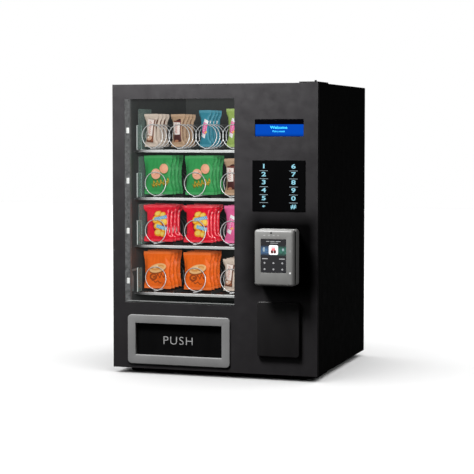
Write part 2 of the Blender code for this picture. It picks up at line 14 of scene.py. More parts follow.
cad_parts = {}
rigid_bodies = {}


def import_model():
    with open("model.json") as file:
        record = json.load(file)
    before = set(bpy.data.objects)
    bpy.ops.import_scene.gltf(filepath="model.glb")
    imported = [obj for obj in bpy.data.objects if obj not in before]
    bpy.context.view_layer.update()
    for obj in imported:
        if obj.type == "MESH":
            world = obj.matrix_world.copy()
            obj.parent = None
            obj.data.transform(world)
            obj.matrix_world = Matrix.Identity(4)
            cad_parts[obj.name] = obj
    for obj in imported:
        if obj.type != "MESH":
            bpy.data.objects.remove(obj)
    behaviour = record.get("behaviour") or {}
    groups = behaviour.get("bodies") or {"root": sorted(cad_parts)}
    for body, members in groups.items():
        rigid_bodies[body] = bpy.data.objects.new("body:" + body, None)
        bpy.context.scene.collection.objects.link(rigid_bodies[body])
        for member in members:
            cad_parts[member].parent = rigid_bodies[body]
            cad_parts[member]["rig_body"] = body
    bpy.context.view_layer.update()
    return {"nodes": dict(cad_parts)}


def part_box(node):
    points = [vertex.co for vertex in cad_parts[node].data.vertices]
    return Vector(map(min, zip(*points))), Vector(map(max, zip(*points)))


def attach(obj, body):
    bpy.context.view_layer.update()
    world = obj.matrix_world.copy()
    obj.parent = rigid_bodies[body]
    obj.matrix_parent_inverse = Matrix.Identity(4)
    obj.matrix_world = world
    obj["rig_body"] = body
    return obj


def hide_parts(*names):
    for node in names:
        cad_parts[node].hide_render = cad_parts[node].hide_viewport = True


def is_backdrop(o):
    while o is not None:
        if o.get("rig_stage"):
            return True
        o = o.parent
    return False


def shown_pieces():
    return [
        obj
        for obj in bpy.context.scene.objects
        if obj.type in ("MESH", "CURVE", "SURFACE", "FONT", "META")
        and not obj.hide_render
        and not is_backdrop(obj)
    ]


for startup in list(bpy.data.objects):
    bpy.data.objects.remove(startup, do_unlink=True)
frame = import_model()

MM = 0.001
PRINT = 0.25 * MM  # thickness of a printed mark or letter


class Box:
    """A CAD node's box, or any other, by the names of its sides."""

    def __init__(self, low, high):
        self.left, self.front, self.bottom = low
        self.right, self.back, self.top = high
        self.x = (self.left + self.right) / 2
        self.z = (self.bottom + self.top) / 2
        self.width = self.right - self.left
        self.height = self.top - self.bottom

    def sides(self, by=0.0):
        return grown((self.left, self.right, self.bottom, self.top), by)


def node_box(name):
    return Box(*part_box(name))


def grown(sides, by):
    """(left, right, bottom, top), each moved outwards by this much."""
    left, right, bottom, top = sides
    return (left - by, right + by, bottom - by, top + by)


def around(x, z, width, height):
    """The sides of a rectangle round a place."""
    return (x - width / 2, x + width / 2, z - height / 2, z + height / 2)


# Shader building


class Shader:
    """One material, whose node tree is built by short calls. Places are metres in the model's frame."""

    def __init__(self, name):
        self.material = bpy.data.materials.new(name)
        self.material.use_nodes = True
        self.tree = self.material.node_tree
        self.surface = self.tree.nodes["Principled BSDF"]
        self.output = self.tree.nodes["Material Output"]
        self.place = self.add("ShaderNodeTexCoord").outputs["Object"]

    def add(self, kind, **settings):
        node = self.tree.nodes.new(kind)
        for key, value in settings.items():
            setattr(node, key, value)
        return node

    def feed(self, socket, value):
        if isinstance(value, bpy.types.NodeSocket):
            self.tree.links.new(value, socket)
        elif socket.type == "RGBA":
            socket.default_value = (*value, 1)
        else:
            socket.default_value = value

    def set(self, **inputs):
        """Feeds the Principled node: base_color=..., roughness=..., and so on."""
        for key, value in inputs.items():
            label = key.replace("_", " ").title().replace("Ior", "IOR")
            self.feed(self.surface.inputs[label], value)

    def maths(self, operation, first, second=0.0):
        node = self.add("ShaderNodeMath", operation=operation)
        for socket, value in zip(node.inputs, (first, second)):
            self.feed(socket, value)
        return node.outputs[0]

    def times(self, first, second):
        return self.maths("MULTIPLY", first, second)

    def mix(self, amount, first, second):
        """A colour between the first, at amount 0, and the second, at 1."""
        node = self.add("ShaderNodeMix", data_type="RGBA")
        self.feed(node.inputs["Factor"], amount)
        self.feed(node.inputs[6], first)
        self.feed(node.inputs[7], second)
        return node.outputs[2]

    def scaled(self, value, low, high, start=0.0, end=1.0):
        """The value carried from start..end to low..high, clamped."""
        node = self.add("ShaderNodeMapRange")
        for name, number in (
            ("Value", value),
            ("From Min", start),
            ("From Max", end),
            ("To Min", low),
            ("To Max", high),
        ):
            self.feed(node.inputs[name], number)
        return node.outputs[0]

    def stretched(self, scale, place=None):
        node = self.add("ShaderNodeMapping")
        self.feed(node.inputs["Vector"], place or self.place)
        node.inputs["Scale"].default_value = scale
        return node.outputs[0]

    def noise(self, size, detail=3.0, place=None, distortion=0.0):
        """Cloudy noise from 0 to 1 whose features are about this size in metres."""
        node = self.add("ShaderNodeTexNoise")
        self.feed(node.inputs["Vector"], place or self.place)
        node.inputs["Scale"].default_value = 1 / size
        node.inputs["Detail"].default_value = detail
        node.inputs["Distortion"].default_value = distortion
        return node.outputs[0]

    def axes(self, place=None):
        node = self.add("ShaderNodeSeparateXYZ")
        self.feed(node.inputs[0], place or self.place)
        return node.outputs

    def bump(self, height, distance, strength=1.0, below=None):
        node = self.add("ShaderNodeBump")
        node.inputs["Strength"].default_value = strength
        node.inputs["Distance"].default_value = distance
        self.feed(node.inputs["Height"], height)
        if below:
            self.feed(node.inputs["Normal"], below)
        return node.outputs[0]

    def edges(self, radius, gain):
        """1 near a corner of the shape and 0 on its flats, where a coat wears and where a painted highlight
        is laid.
        """
        rounded = self.add("ShaderNodeBevel", samples=4)
        rounded.inputs["Radius"].default_value = radius
        true = self.add("ShaderNodeNewGeometry").outputs["Normal"]
        dot = self.add("ShaderNodeVectorMath", operation="DOT_PRODUCT")
        self.feed(dot.inputs[0], rounded.outputs[0])
        self.feed(dot.inputs[1], true)
        bent = self.maths("SUBTRACT", 1.0, dot.outputs["Value"])
        return self.scaled(bent, 0.0, 1.0, 0.0, 1 / gain)

    # Printed shapes. Their place is the film's own coordinates in millimetres.

    def local(self, x, z, width, height, tilt=0.0):
        node = self.add("ShaderNodeMapping", vector_type="TEXTURE")
        self.feed(node.inputs["Vector"], self.print_place)
        node.inputs["Location"].default_value = (x, z, 0)
        node.inputs["Rotation"].default_value = (0, 0, math.radians(tilt))
        node.inputs["Scale"].default_value = (width / 2, height / 2, 1)
        return node.outputs[0]

    def ellipse(self, x, z, width, height, tilt=0.0):
        length = self.add("ShaderNodeVectorMath", operation="LENGTH")
        self.feed(length.inputs[0], self.local(x, z, width, height, tilt))
        return self.scaled(length.outputs["Value"], 1.0, 0.0, 0.94, 1.04)

    def panel(self, x, z, width, height, tilt=0.0):
        across, along, _ = self.axes(self.local(x, z, width, height, tilt))
        far = self.maths("MAXIMUM", self.maths("ABSOLUTE", across), self.maths("ABSOLUTE", along))
        return self.scaled(far, 1.0, 0.0, 0.96, 1.03)

    def wave(self, x, z, width, height, thickness, waves, tilt=0.0):
        """A hand-drawn looking wavy stroke."""
        across, along, _ = self.axes(self.local(x, z, width, height, tilt))
        middle = self.maths("SINE", self.times(across, math.pi * waves))
        off = self.maths("ABSOLUTE", self.maths("SUBTRACT", along, middle))
        stroke = self.scaled(off, 1.0, 0.0, 2 * thickness / height * 0.8, 2 * thickness / height)
        inside = self.maths("LESS_THAN", self.maths("ABSOLUTE", across), 1.0)
        return self.times(stroke, inside)


def toned(colour, factor, more=0.0):
    """The colour made lighter or darker, by a factor and then by an amount."""
    return [min(1, c * factor + more) for c in colour]


def painted(name, colour, roughness=0.42, grain=0.55, edge_wear_and_highlight=0.06, specular=0.4):
    """Powder-coated steel: a fine orange-peel skin, slightly uneven gloss, and lighter edges that are partly
    rubbed wear and partly a painted highlight.
    """
    s = Shader(name)
    patchy = s.noise(90 * MM, 3)
    fine = s.noise(0.9 * MM, 2)
    tone = s.mix(s.scaled(patchy, 0.0, 1.0, 0.3, 0.7), toned(colour, 0.9), toned(colour, 1.1))
    speck = s.mix(s.scaled(fine, 0.0, 0.35, 0.55, 0.75), tone, toned(colour, 1.7, 0.003))
    # Lighter edges: partly rubbed wear, partly a painted highlight where the edges catch the light.
    edge = s.edges(1.3 * MM, 6)
    scuffed_and_lit_edge = s.times(edge, s.scaled(s.noise(14 * MM, 4), 0.35, 1.0, 0.35, 0.65))
    s.set(base_color=s.mix(scuffed_and_lit_edge, speck, toned(colour, 1, edge_wear_and_highlight)))
    gloss = s.scaled(s.noise(30 * MM, 5), roughness - 0.05, roughness + 0.07, 0.3, 0.7)
    s.set(roughness=gloss, specular_ior_level=specular)
    s.set(normal=s.bump(fine, 0.12 * MM, grain))
    return s.material


def reopened(material):
    """A Shader that adds nodes to a finished material."""
    s = Shader(material.name + "_parts")
    bpy.data.materials.remove(s.material)
    s.material = material
    s.tree = material.node_tree
    s.surface = s.tree.nodes["Principled BSDF"]
    s.place = s.add("ShaderNodeTexCoord").outputs["Object"]
    return s


def dimmed(s, share):
    """Paints shade: darkens and dulls the Shader's surface to this share of its colour and gloss."""
    colour = s.surface.inputs["Base Color"].links[0].from_socket
    s.set(base_color=s.mix(share, (0.0, 0.0, 0.0), colour))
    s.set(specular_ior_level=s.times(share, s.surface.inputs["Specular IOR Level"].default_value))


def painted_shade_behind(material, front, back, least):
    """Paints shade into a material: darker towards the back of the bay, fading from front to back."""
    s = reopened(material)
    dimmed(s, s.scaled(s.axes()[1], 1.0, least, front, back))


def painted_shadow_near(material, sides, near, far, least):
    """Paints a shadow into a material: darker near a rectangle in X and Z, fading from near to far."""
    s = reopened(material)
    left, right, bottom, top = sides
    x, _, z = s.axes()
    reach = []
    for value, low, high in ((x, left, right), (z, bottom, top)):
        off = s.maths("ABSOLUTE", s.maths("SUBTRACT", value, (low + high) / 2))
        reach.append(s.maths("MAXIMUM", s.maths("SUBTRACT", off, (high - low) / 2), 0.0))
    squares = [s.times(value, value) for value in reach]
    distance = s.maths("SQRT", s.maths("ADD", *squares))
    dimmed(s, s.scaled(distance, least, 1.0, near, far))


def moulded(name, colour, roughness=0.4, specular=0.4, sparkle=0.0):
    """Moulded plastic: spark-eroded grain, slow flow marks, and edges a little lighter, partly rubbed wear
    and partly a painted highlight.
    """
    s = Shader(name)
    grain = s.noise(0.6 * MM, 2)
    flow = s.noise(45 * MM, 3, s.stretched((1, 1, 0.35)), 0.6)
    tone = s.mix(s.scaled(flow, 0, 1, 0.3, 0.7), toned(colour, 0.94), toned(colour, 1.06))
    tone = s.mix(s.scaled(grain, 0, sparkle, 0.5, 0.8), tone, toned(colour, 1.9))
    # Lighter edges: partly rubbed wear, partly a painted highlight where the edges catch the light.
    edge = s.edges(0.9 * MM, 5)
    s.set(base_color=s.mix(s.times(edge, 0.35), tone, toned(colour, 1.5, 0.01)))
    s.set(roughness=s.scaled(flow, roughness - 0.05, roughness + 0.06, 0.3, 0.7))
    s.set(specular_ior_level=specular, normal=s.bump(grain, 0.05 * MM, 0.6))
    return s.material


def bare_metal(name, colour, roughness=0.3, brushed=(1, 1, 1), metallic=1.0):
    """Plain or plated metal with drawing or brushing marks along one direction."""
    s = Shader(name)
    marks = s.noise(0.5 * MM, 3, s.stretched(brushed))
    cloud = s.noise(25 * MM, 3)
    s.set(base_color=s.mix(s.scaled(cloud, 0, 1, 0.3, 0.7), toned(colour, 0.88), colour))
    s.set(metallic=metallic, roughness=s.scaled(marks, roughness - 0.08, roughness + 0.12, 0.25, 0.75))
    s.set(normal=s.bump(marks, 0.03 * MM, 0.5))
    return s.material


def rubber(name, colour=(0.012, 0.012, 0.013)):
    s = Shader(name)
    grain = s.noise(1.2 * MM, 4)
    dust = s.scaled(s.noise(18 * MM, 5), 0.0, 0.5, 0.5, 0.8)
    s.set(base_color=s.mix(dust, colour, toned(colour, 1, 0.035)))
    s.set(roughness=s.scaled(grain, 0.65, 0.9), specular_ior_level=0.25)
    s.set(normal=s.bump(grain, 0.15 * MM, 0.7))
    return s.material


def see_through(name, tint, body, cover, roughness=0.05, smear=0.02):
    """A clear sheet: mostly what is behind it, with a share of its own gloss and colour."""
    s = Shader(name)
    clear = s.add("ShaderNodeBsdfTransparent")
    clear.inputs["Color"].default_value = (*tint, 1)
    wiped = s.noise(60 * MM, 4, s.stretched((1, 1, 0.3)), 0.8)
    s.set(base_color=s.mix(s.scaled(wiped, 0, 1, 0.3, 0.7), body, toned(body, 1.15)))
    s.set(roughness=s.scaled(wiped, roughness, roughness + 0.08, 0.3, 0.8))
    join = s.add("ShaderNodeMixShader")
    s.feed(join.inputs["Fac"], s.scaled(wiped, cover - smear, cover + smear, 0.3, 0.7))
    s.feed(join.inputs[1], clear.outputs[0])
    s.feed(join.inputs[2], s.surface.outputs[0])
    s.feed(s.output.inputs["Surface"], join.outputs[0])
    return s.material


def glowing(name, colour, strength, speck=0.12):
    """A lit legend or lamp, slightly uneven as a printed diffuser is."""
    s = Shader(name)
    uneven = s.scaled(s.noise(2.5 * MM, 2), 1 - speck, 1.0, 0.3, 0.7)
    s.set(base_color=toned(colour, 0.4), roughness=0.4)
    s.set(emission_color=s.mix(uneven, toned(colour, 0.5), colour), emission_strength=strength)
    return s.material


FILM_SEAL = 7.5  # height of a bag's crimped seals, in millimetres


def film(name, colour, half_height, prints, roughness=0.3, gloss=0.3):
    """Printed packaging film, with its pictures laid over the base colour."""
    s = Shader(name)
    art = s.add("ShaderNodeUVMap", uv_map="print")
    s.print_place = art.outputs[0]
    across, along, _ = s.axes(s.print_place)
    height = s.maths("ABSOLUTE", along)
    seal = s.scaled(height, 0.0, 1.0, half_height - FILM_SEAL - 0.6, half_height - FILM_SEAL + 0.6)
    shade = s.scaled(s.noise(22 * MM, 3), 0.0, 1.0, 0.3, 0.7)
    base = s.mix(shade, toned(colour, 0.9), toned(colour, 1.08))
    shapes = {"ellipse": s.ellipse, "panel": s.panel, "wave": s.wave}
    for shape, *place, ink in prints:
        base = s.mix(shapes[shape](*place), base, ink)
    ribs = s.maths("SINE", s.times(across, 2 * math.pi / 1.6))
    crest = s.times(seal, s.scaled(ribs, 0.0, 1.0, -1, 1))
    base = s.mix(s.times(seal, s.scaled(crest, 0.25, 0.6)), base, toned(colour, 1.25, 0.05))
    s.set(base_color=base, roughness=s.scaled(shade, roughness - 0.04, roughness + 0.06))
    s.set(specular_ior_level=gloss)
    creases = s.bump(s.noise(7 * MM, 3, None, 1.2), 0.8 * MM, 0.35)
    s.set(normal=s.bump(crest, 0.4 * MM, 0.6, creases))
    return s.material


# Mesh building


def piece(name, bm, material, body, smooth=35):
    """An object from a bmesh in the model's frame, riding on a body."""
    bmesh.ops.recalc_face_normals(bm, faces=bm.faces)
    mesh = bpy.data.meshes.new(name)
    bm.to_mesh(mesh)
    bm.free()
    obj = bpy.data.objects.new(name, mesh)
    bpy.context.scene.collection.objects.link(obj)
    mesh.materials.append(material)
    if smooth:
        mesh.shade_smooth()
        mesh.set_sharp_from_angle(angle=math.radians(smooth))
    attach(obj, body)
    return obj


def soften(obj, width, segments=2, angle=40):
    """Rounds the edges of an object."""
    modifier = obj.modifiers.new("Rounded edges", "BEVEL")
    modifier.width = width
    modifier.segments = segments
    modifier.limit_method = "ANGLE"
    modifier.angle_limit = math.radians(angle)
    modifier.harden_normals = True
    modifier.use_clamp_overlap = True
    return obj


def refined(node, material, width, segments=2):
    """A CAD node's own shape with rounded edges, standing for it."""
    source = frame["nodes"][node]
    bm = bmesh.new()
    bm.from_mesh(source.data)
    bmesh.ops.remove_doubles(bm, verts=bm.verts, dist=0.002 * MM)
    bmesh.ops.dissolve_limit(bm, angle_limit=math.radians(1), verts=bm.verts, edges=bm.edges)
    obj = piece(node + "_shell", bm, material, source["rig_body"])
    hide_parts(node)
    return soften(obj, width, segments)


def add_box(bm, left, right, front, back, bottom, top):
    middle = Vector((left + right, front + back, bottom + top)) / 2
    size = (right - left, back - front, top - bottom, 1)
    made = bmesh.ops.create_cube(bm, size=1, matrix=Matrix.Translation(middle) @ Matrix.Diagonal(size))
    return made["verts"]


def add_turned(bm, profile, place, direction, segments=24):
    """A turned solid: profile is (radius, height) pairs from the axis out and back to the axis."""
    turn = Vector(direction).to_track_quat("Z", "Y").to_matrix().to_4x4()
    matrix = Matrix.Translation(place) @ turn
    rings = []
    for radius, height in profile:
        if radius == 0:
            rings.append([bm.verts.new(matrix @ Vector((0, 0, height)))])
            continue
        angles = [2 * math.pi * k / segments for k in range(segments)]
        points = [(radius * math.cos(a), radius * math.sin(a), height) for a in angles]
        rings.append([bm.verts.new(matrix @ Vector(p)) for p in points])
    for first, second in zip(rings, rings[1:]):
        for k in range(segments):
            after = (k + 1) % segments
            corners = [first[k % len(first)], first[after % len(first)]]
            corners += [second[after % len(second)], second[k % len(second)]]
            bm.faces.new(list(dict.fromkeys(corners)))


def add_prism(bm, profile, left, right):
    """A solid along X whose ends are this outline, given as (y, z)."""
    ends = [[bm.verts.new((x, y, z)) for y, z in profile] for x in (left, right)]
    for k in range(len(profile)):
        after = (k + 1) % len(profile)
        bm.faces.new((ends[0][k], ends[0][after], ends[1][after], ends[1][k]))
    bm.faces.new(ends[0])
    bm.faces.new(list(reversed(ends[1])))


def outline(sides, radius, steps=8):
    """Points of a rectangle with round corners, as (x, z)."""
    left, right, bottom, top = sides
    corners = (
        (right - radius, top - radius, 0),
        (left + radius, top - radius, 90),
        (left + radius, bottom + radius, 180),
        (right - radius, bottom + radius, 270),
    )
    points = []
    for x, z, start in corners:
        for i in range(steps + 1):
            angle = math.radians(start + 90 * i / steps)
            points.append((x + radius * math.cos(angle), z + radius * math.sin(angle)))
    return points


def add_loops(bm, loops, closed=False, caps=True):
    """Skins loops of points, each given as (outline, y), in order."""
    rings = [[bm.verts.new((x, y, z)) for x, z in points] for points, y in loops]
    pairs = list(zip(rings, rings[1:])) + ([(rings[-1], rings[0])] if closed else [])
    for first, second in pairs:
        for k in range(len(first)):
            after = (k + 1) % len(first)
            bm.faces.new((first[k], first[after], second[after], second[k]))
    if caps and not closed:
        bm.faces.new(rings[0])
        bm.faces.new(list(reversed(rings[-1])))


def crowned(sides, radius, front, back, edge, steps=4):
    """Loops of a plate facing -Y whose front edge is rounded by this much."""
    loops = [(outline(sides, radius), back)]
    for i in range(steps + 1):
        angle = math.pi / 2 * i / steps
        inset = edge * (1 - math.cos(angle))
        y = front + edge * (1 - math.sin(angle))
        loops.append((outline(grown(sides, -inset), max(radius - inset, 0.3 * MM)), y))
    return loops


def lettering(name, text, height, place, material, body, weight=0.0, widen=1.0, spacing=1.0):
    """Raised lettering that faces -Y, centred on the place, which is (x, z, y), as a mesh."""
    x, z, y = place
    curve = bpy.data.curves.new(name, "FONT")
    curve.body = text
    curve.align_x = "CENTER"
    curve.align_y = "CENTER"
    curve.size = height / 0.73
    curve.offset = weight * height
    curve.extrude = PRINT / 2
    curve.space_character = spacing
    curve.resolution_u = 6
    maker = bpy.data.objects.new(name + "_maker", curve)
    bpy.context.scene.collection.objects.link(maker)
    bpy.context.view_layer.update()
    mesh = bpy.data.meshes.new_from_object(maker)
    bpy.data.objects.remove(maker, do_unlink=True)
    turn = Matrix.Rotation(math.radians(90), 4, "X")
    mesh.transform(Matrix.Translation((x, y - PRINT / 2, z)) @ turn @ Matrix.Diagonal((widen, 1, 1, 1)))
    bm = bmesh.new()
    bm.from_mesh(mesh)
    bmesh.ops.remove_doubles(bm, verts=bm.verts, dist=0.001 * MM)
    return piece(name, bm, material, body, smooth=0)


def wire_curve(name, points, radius, material, body, sides=5):
    """Round wire along the points."""
    curve = bpy.data.curves.new(name, "CURVE")
    curve.dimensions = "3D"
    curve.bevel_depth = radius
    curve.bevel_resolution = sides - 2
    curve.use_fill_caps = True
    spline = curve.splines.new("POLY")
    spline.points.add(len(points) - 1)
    for point, place in zip(spline.points, points):
        point.co = (*place, 1)
    spline.use_smooth = True
    curve.materials.append(material)
    obj = bpy.data.objects.new(name, curve)
    bpy.context.scene.collection.objects.link(obj)
    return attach(obj, body)


# Materials

door_paint = painted("door_powder_coat", (0.0193, 0.0179, 0.0194), roughness=0.4, specular=0.45, edge_wear_and_highlight=0.03)
body_black = (0.006, 0.006, 0.0063)
body_paint = painted("cabinet_powder_coat", body_black, roughness=0.5, specular=0.18, edge_wear_and_highlight=0.012)
inner_paint = painted("inner_grey_paint", (0.036, 0.036, 0.036), roughness=0.5, specular=0.25, edge_wear_and_highlight=0.05)
# Painted light: a lighter copy of the inner grey, for the bay's left wall, standing in for the light that the
# wall does not get.
wall_painted_light = painted("bay_wall_paint", (0.056, 0.056, 0.057), roughness=0.5, specular=0.25, edge_wear_and_highlight=0.05)
tray_paint = painted("white_tray_enamel", (0.41, 0.41, 0.41), roughness=0.35, grain=0.3, edge_wear_and_highlight=0.05)
grey_trim = painted("grey_trim_paint", (0.22, 0.22, 0.22), roughness=0.45, specular=0.4, edge_wear_and_highlight=0.12)
# Painted light: the keeper's grey is tinted cyan to cancel the pink light that the red and orange bags throw
# on it.
keeper_paint = painted("keeper_paint", (0.15, 0.19, 0.2), roughness=0.45, edge_wear_and_highlight=0.12)
black_plastic = moulded("black_plastic", (0.0035, 0.0035, 0.0037), roughness=0.4, specular=0.08)
gloss_black = moulded("keypad_gloss_black", (0.0022, 0.0022, 0.0024), roughness=0.2, specular=0.03)
cover_black = moulded("cover_black_plastic", (0.012, 0.0112, 0.0117), roughness=0.45, specular=0.25)
reader_grey = moulded("reader_grey_plastic", (0.36, 0.36, 0.35), roughness=0.33, specular=0.5, sparkle=0.25)
# Near black: the camera's lens, and painted shade in the reader's groove.
reader_dark = moulded("reader_dark_groove", (0.012, 0.012, 0.012), roughness=0.5)
coil_wire = bare_metal("bright_zinc_wire", (0.93, 0.94, 0.95), roughness=0.3, metallic=0.3)
steel = bare_metal("plated_steel", (0.5, 0.5, 0.5), roughness=0.32)
dull_steel = bare_metal("galvanised_steel", (0.16, 0.16, 0.165), roughness=0.45, metallic=0.6)
feet_rubber = rubber("feet_rubber")
glass = see_through("window_glass", (0.985, 0.992, 0.988), (0.2, 0.23, 0.22), 0.012, 0.03, 0.004)
guide_plastic = see_through("clear_guide", (0.72, 0.82, 0.79), (0.33, 0.43, 0.4), 0.3, 0.15, 0.05)
guide_edge = see_through("clear_guide_edge", (0.8, 0.86, 0.84), (0.62, 0.66, 0.65), 0.85, 0.2, 0.06)
lamp_white = glowing("lamp_white", (1.0, 1.0, 0.98), 0.62)
legend_cyan = glowing("legend_cyan", (0.2, 0.44, 0.53), 1.0)
legend_pale = glowing("legend_pale", (0.3, 0.38, 0.42), 0.8)
lcd_cyan = glowing("lcd_cyan", (0.04, 0.55, 0.95), 1.1)
push_print = moulded("push_print", (0.42, 0.42, 0.42), roughness=0.5)
tick_white = moulded("tick_white", (0.6, 0.6, 0.59), roughness=0.4)
screen_mark = glowing("screen_mark", (0.34, 0.34, 0.35), 1.0)
tile_white = glowing("tile_white", (0.92, 0.92, 0.94), 1.0)
tile_red = glowing("tile_red", (0.75, 0.18, 0.2), 1.0)
tile_dark = glowing("tile_dark", (0.09, 0.02, 0.02), 1.0)


# Cabinet and door


# Painted shadow: round the card reader the door's paint is darkened where the reader's shadow falls.
READER_SHADE = (138 * MM, 268 * MM, 272 * MM, 420 * MM)  # the part of the door that the reader keeps dark


def build_casings():
    """The CAD's own sheet metal, feet and motors, with rounded edges and finished surfaces."""
    for node in ("side_panel_left", "side_panel_right", "top_panel", "base_panel"):
        refined(node, body_paint, 0.8 * MM)
    refined("rear_panel", body_paint, 0.4 * MM, 1)
    for node in ("hinge_bracket_top", "hinge_bracket_bottom"):
        refined(node, body_paint, 0.7 * MM)
    # Painted shadow: the door's paint is darkened round the card reader, standing in for the reader's shadow.
    painted_shadow_near(door_paint, READER_SHADE, 8 * MM, 62 * MM, 0.06)
    refined("door_panel", door_paint, 0.7 * MM, 3)
    # The left wall takes the lighter grey, which is painted light.
    refined("bay_left_wall", wall_painted_light, 0.5 * MM)
    refined("bay_divider", inner_paint, 0.5 * MM)
    refined("delivery_bin", inner_paint, 0.6 * MM)
    refined("power_inlet", black_plastic, 0.5 * MM)
    refined("door_lock", steel, 0.5 * MM)
    refined("display", black_plastic, 0.6 * MM)
    for place in ("front_left", "front_right", "rear_left", "rear_right"):
        refined("foot_" + place, feet_rubber, 1.6 * MM, 3)
    for number in range(1, 5):
        refined(f"motor_bank_{number}", inner_paint, 1.0 * MM)


SCREW_PROFILE = (
    (0, -1.4),
    (4.0, -1.4),
    (4.0, 0.0),
    (3.6, 1.0),
    (2.7, 1.55),
    (1.9, 1.7),
    (1.7, 0.5),
    (0, 0.5),
)


def screws(name, places, direction, body, material, size=1.0):
    """A group of socket-headed screws; each place is on the sheet under the head."""
    bm = bmesh.new()
    profile = [(r * size * MM, h * size * MM) for r, h in SCREW_PROFILE]
    for place in places:
        add_turned(bm, profile, place, direction, 20)
    return piece(name, bm, material, body)


def build_fasteners():
    rear = node_box("rear_panel")
    inset = 12 * MM
    y = rear.back - 1.8 * MM  # the heads' tops are level with the panel
    xs = [rear.left + inset + (rear.width - 2 * inset) * i / 3 for i in range(4)]
    zs = [rear.bottom + inset + (rear.height - 2 * inset) * i / 4 for i in range(5)]
    places = [(x, y, z) for x in xs for z in (zs[0], zs[-1])]
    places += [(x, y, z) for x in (xs[0], xs[-1]) for z in zs[1:-1]]
    screws("rear_panel_screws", places, (0, 1, 0), "cabinet", steel)
    bracket = node_box("hinge_bracket_top")
    top = bracket.top - 3.8 * MM
    behind = [(bracket.left + 14 * MM, y, top) for y in (bracket.back - 14 * MM, bracket.back - 52 * MM)]
    screws("hinge_screws", behind, (0, 0, 1), "cabinet", dull_steel, 1.1)


def build_inlet_pins():
    inlet = node_box("power_inlet")
    front, back = inlet.front + 6 * MM, inlet.back - 4 * MM
    bm = bmesh.new()
    for x, z in ((-9, 2.5), (9, 2.5), (0, -3.5)):
        left, right, bottom, top = around(inlet.x + x * MM, inlet.z + z * MM, 2 * MM, 4 * MM)
        add_box(bm, left, right, front, back, bottom, top)
    pins = soften(piece("inlet_pins", bm, steel, "cabinet"), 0.3 * MM)


def build_liner():
    """The bay's own grey back, just inside the rear panel."""
    wall = node_box("bay_left_wall")
    divider = node_box("bay_divider")
    front = wall.back + 0.3 * MM
    low, high = node_box("tray_4").bottom - 60 * MM, node_box("top_panel").bottom - 4 * MM
    bm = bmesh.new()
    add_box(bm, wall.left, divider.left + 1.5 * MM, front, front + 1.2 * MM, low, high)
    soften(piece("bay_back_liner", bm, inner_paint, "cabinet"), 0.3 * MM)


def build_gasket():
    """The soft seal round the back of the door, which closes on the cabinet's front."""
    door = node_box("door_panel")
    middle = door.sides(-6 * MM)
    depth, half_width, half_depth = door.front + 21.9 * MM, 2.6 * MM, 2.05 * MM
    bm = bmesh.new()
    loops = []
    for k in range(8):
        angle = 2 * math.pi * k / 8
        ring = outline(grown(middle, half_width * math.cos(angle)), 5 * MM)
        loops.append((ring, depth + half_depth * math.sin(angle)))
    add_loops(bm, loops, closed=True)
    piece("door_gasket", bm, feet_rubber, "door", 80)


def build_window():
    """The door's glass, and the grey channel that holds its lower edge."""
    pane = frame["nodes"]["window_glass"]
    pane.data.materials.clear()
    pane.data.materials.append(glass)
    window = node_box("window_glass")
    bm = bmesh.new()
    back = window.back
    left, right, low = window.left + 4 * MM, window.right - 4 * MM, window.bottom + 7.5 * MM
    add_box(bm, left, right, back + 0.4 * MM, back + 1.6 * MM, low, low + 3.5 * MM)
    add_box(bm, left, right, back + 0.4 * MM, back + 9 * MM, low, low + 1.2 * MM)
    channel = piece("window_channel", bm, grey_trim, "door")
    soften(channel, 0.3 * MM)


TOP_LAMP = 687 * MM
LAMP_PITCH = 142 * MM


def build_light_strip():
    """The lamp strip's board, its lamps and the lip along its edge."""
    strip = node_box("led_strip")
    board = frame["nodes"]["led_strip"]
    s = Shader("lamp_strip_board")
    grey = s.mix(s.scaled(s.noise(9 * MM, 4), 0, 1, 0.35, 0.65), (0.09, 0.09, 0.09), (0.17, 0.17, 0.175))
    parts = s.scaled(s.noise(5 * MM, 1, s.stretched((1, 1, 0.5))), 0, 1, 0.62, 0.68)
    s.set(base_color=s.mix(parts, grey, (0.06, 0.06, 0.06)), roughness=0.4)
    s.set(normal=s.bump(parts, 0.6 * MM, 0.6))
    board.data.materials.clear()
    board.data.materials.append(s.material)
    face = strip.back - 3 * MM
    bm = bmesh.new()
    for number in range(4):
        lamp = around(strip.left + 13.8 * MM, TOP_LAMP - number * LAMP_PITCH, 8.4 * MM, 16 * MM)
        add_loops(bm, crowned(lamp, 1.5 * MM, face - 1.8 * MM, face - 0.05 * MM, 1.2 * MM))
    piece("lamp_modules", bm, lamp_white, "door")
    rail = bmesh.new()
    edge = strip.right - 0.2 * MM
    add_box(rail, edge - 1.6 * MM, edge, face - 5 * MM, face - 0.05 * MM, strip.bottom, strip.top)
    lip = soften(piece("lamp_strip_lip", rail, dull_steel, "door"), 0.3 * MM)


def build_latch():
    """The door's keeper: a bent arm that reaches forward from the lowest tray, with its hanging plate."""
    tray = node_box("tray_4")
    left = tray.left - 0.5 * MM
    level = tray.top - 2 * MM
    tip = tray.front - 60 * MM
    bm = bmesh.new()
    add_box(bm, left, left + 2.5 * MM, tip, tray.front + 4 * MM, level - 6 * MM, level)
    add_box(bm, left - 3 * MM, left + 2.5 * MM, tip - 2 * MM, tip, level - 10 * MM, level + 3 * MM)
    arm = soften(piece("bay_keeper", bm, keeper_paint, "cabinet"), 0.5 * MM)
    bm = bmesh.new()
    corners = ((3, -3.5), (20, -3.5), (36, -22), (36, -64), (18, -64), (18, -30), (3, -12))
    corners = [(tip + y * MM, level + z * MM) for y, z in corners]
    add_prism(bm, corners, left + 0.4 * MM, left + 2 * MM)
    plate = soften(piece("bay_keeper_plate", bm, keeper_paint, "cabinet"), 0.4 * MM)


# Door fittings


LCD_MIDDLE = 189 * MM
LCD_LINES = ((1, "Welcome", 8, 695, 1.12), (2, "Pick a snack", 4.6, 684.5, 1.15))


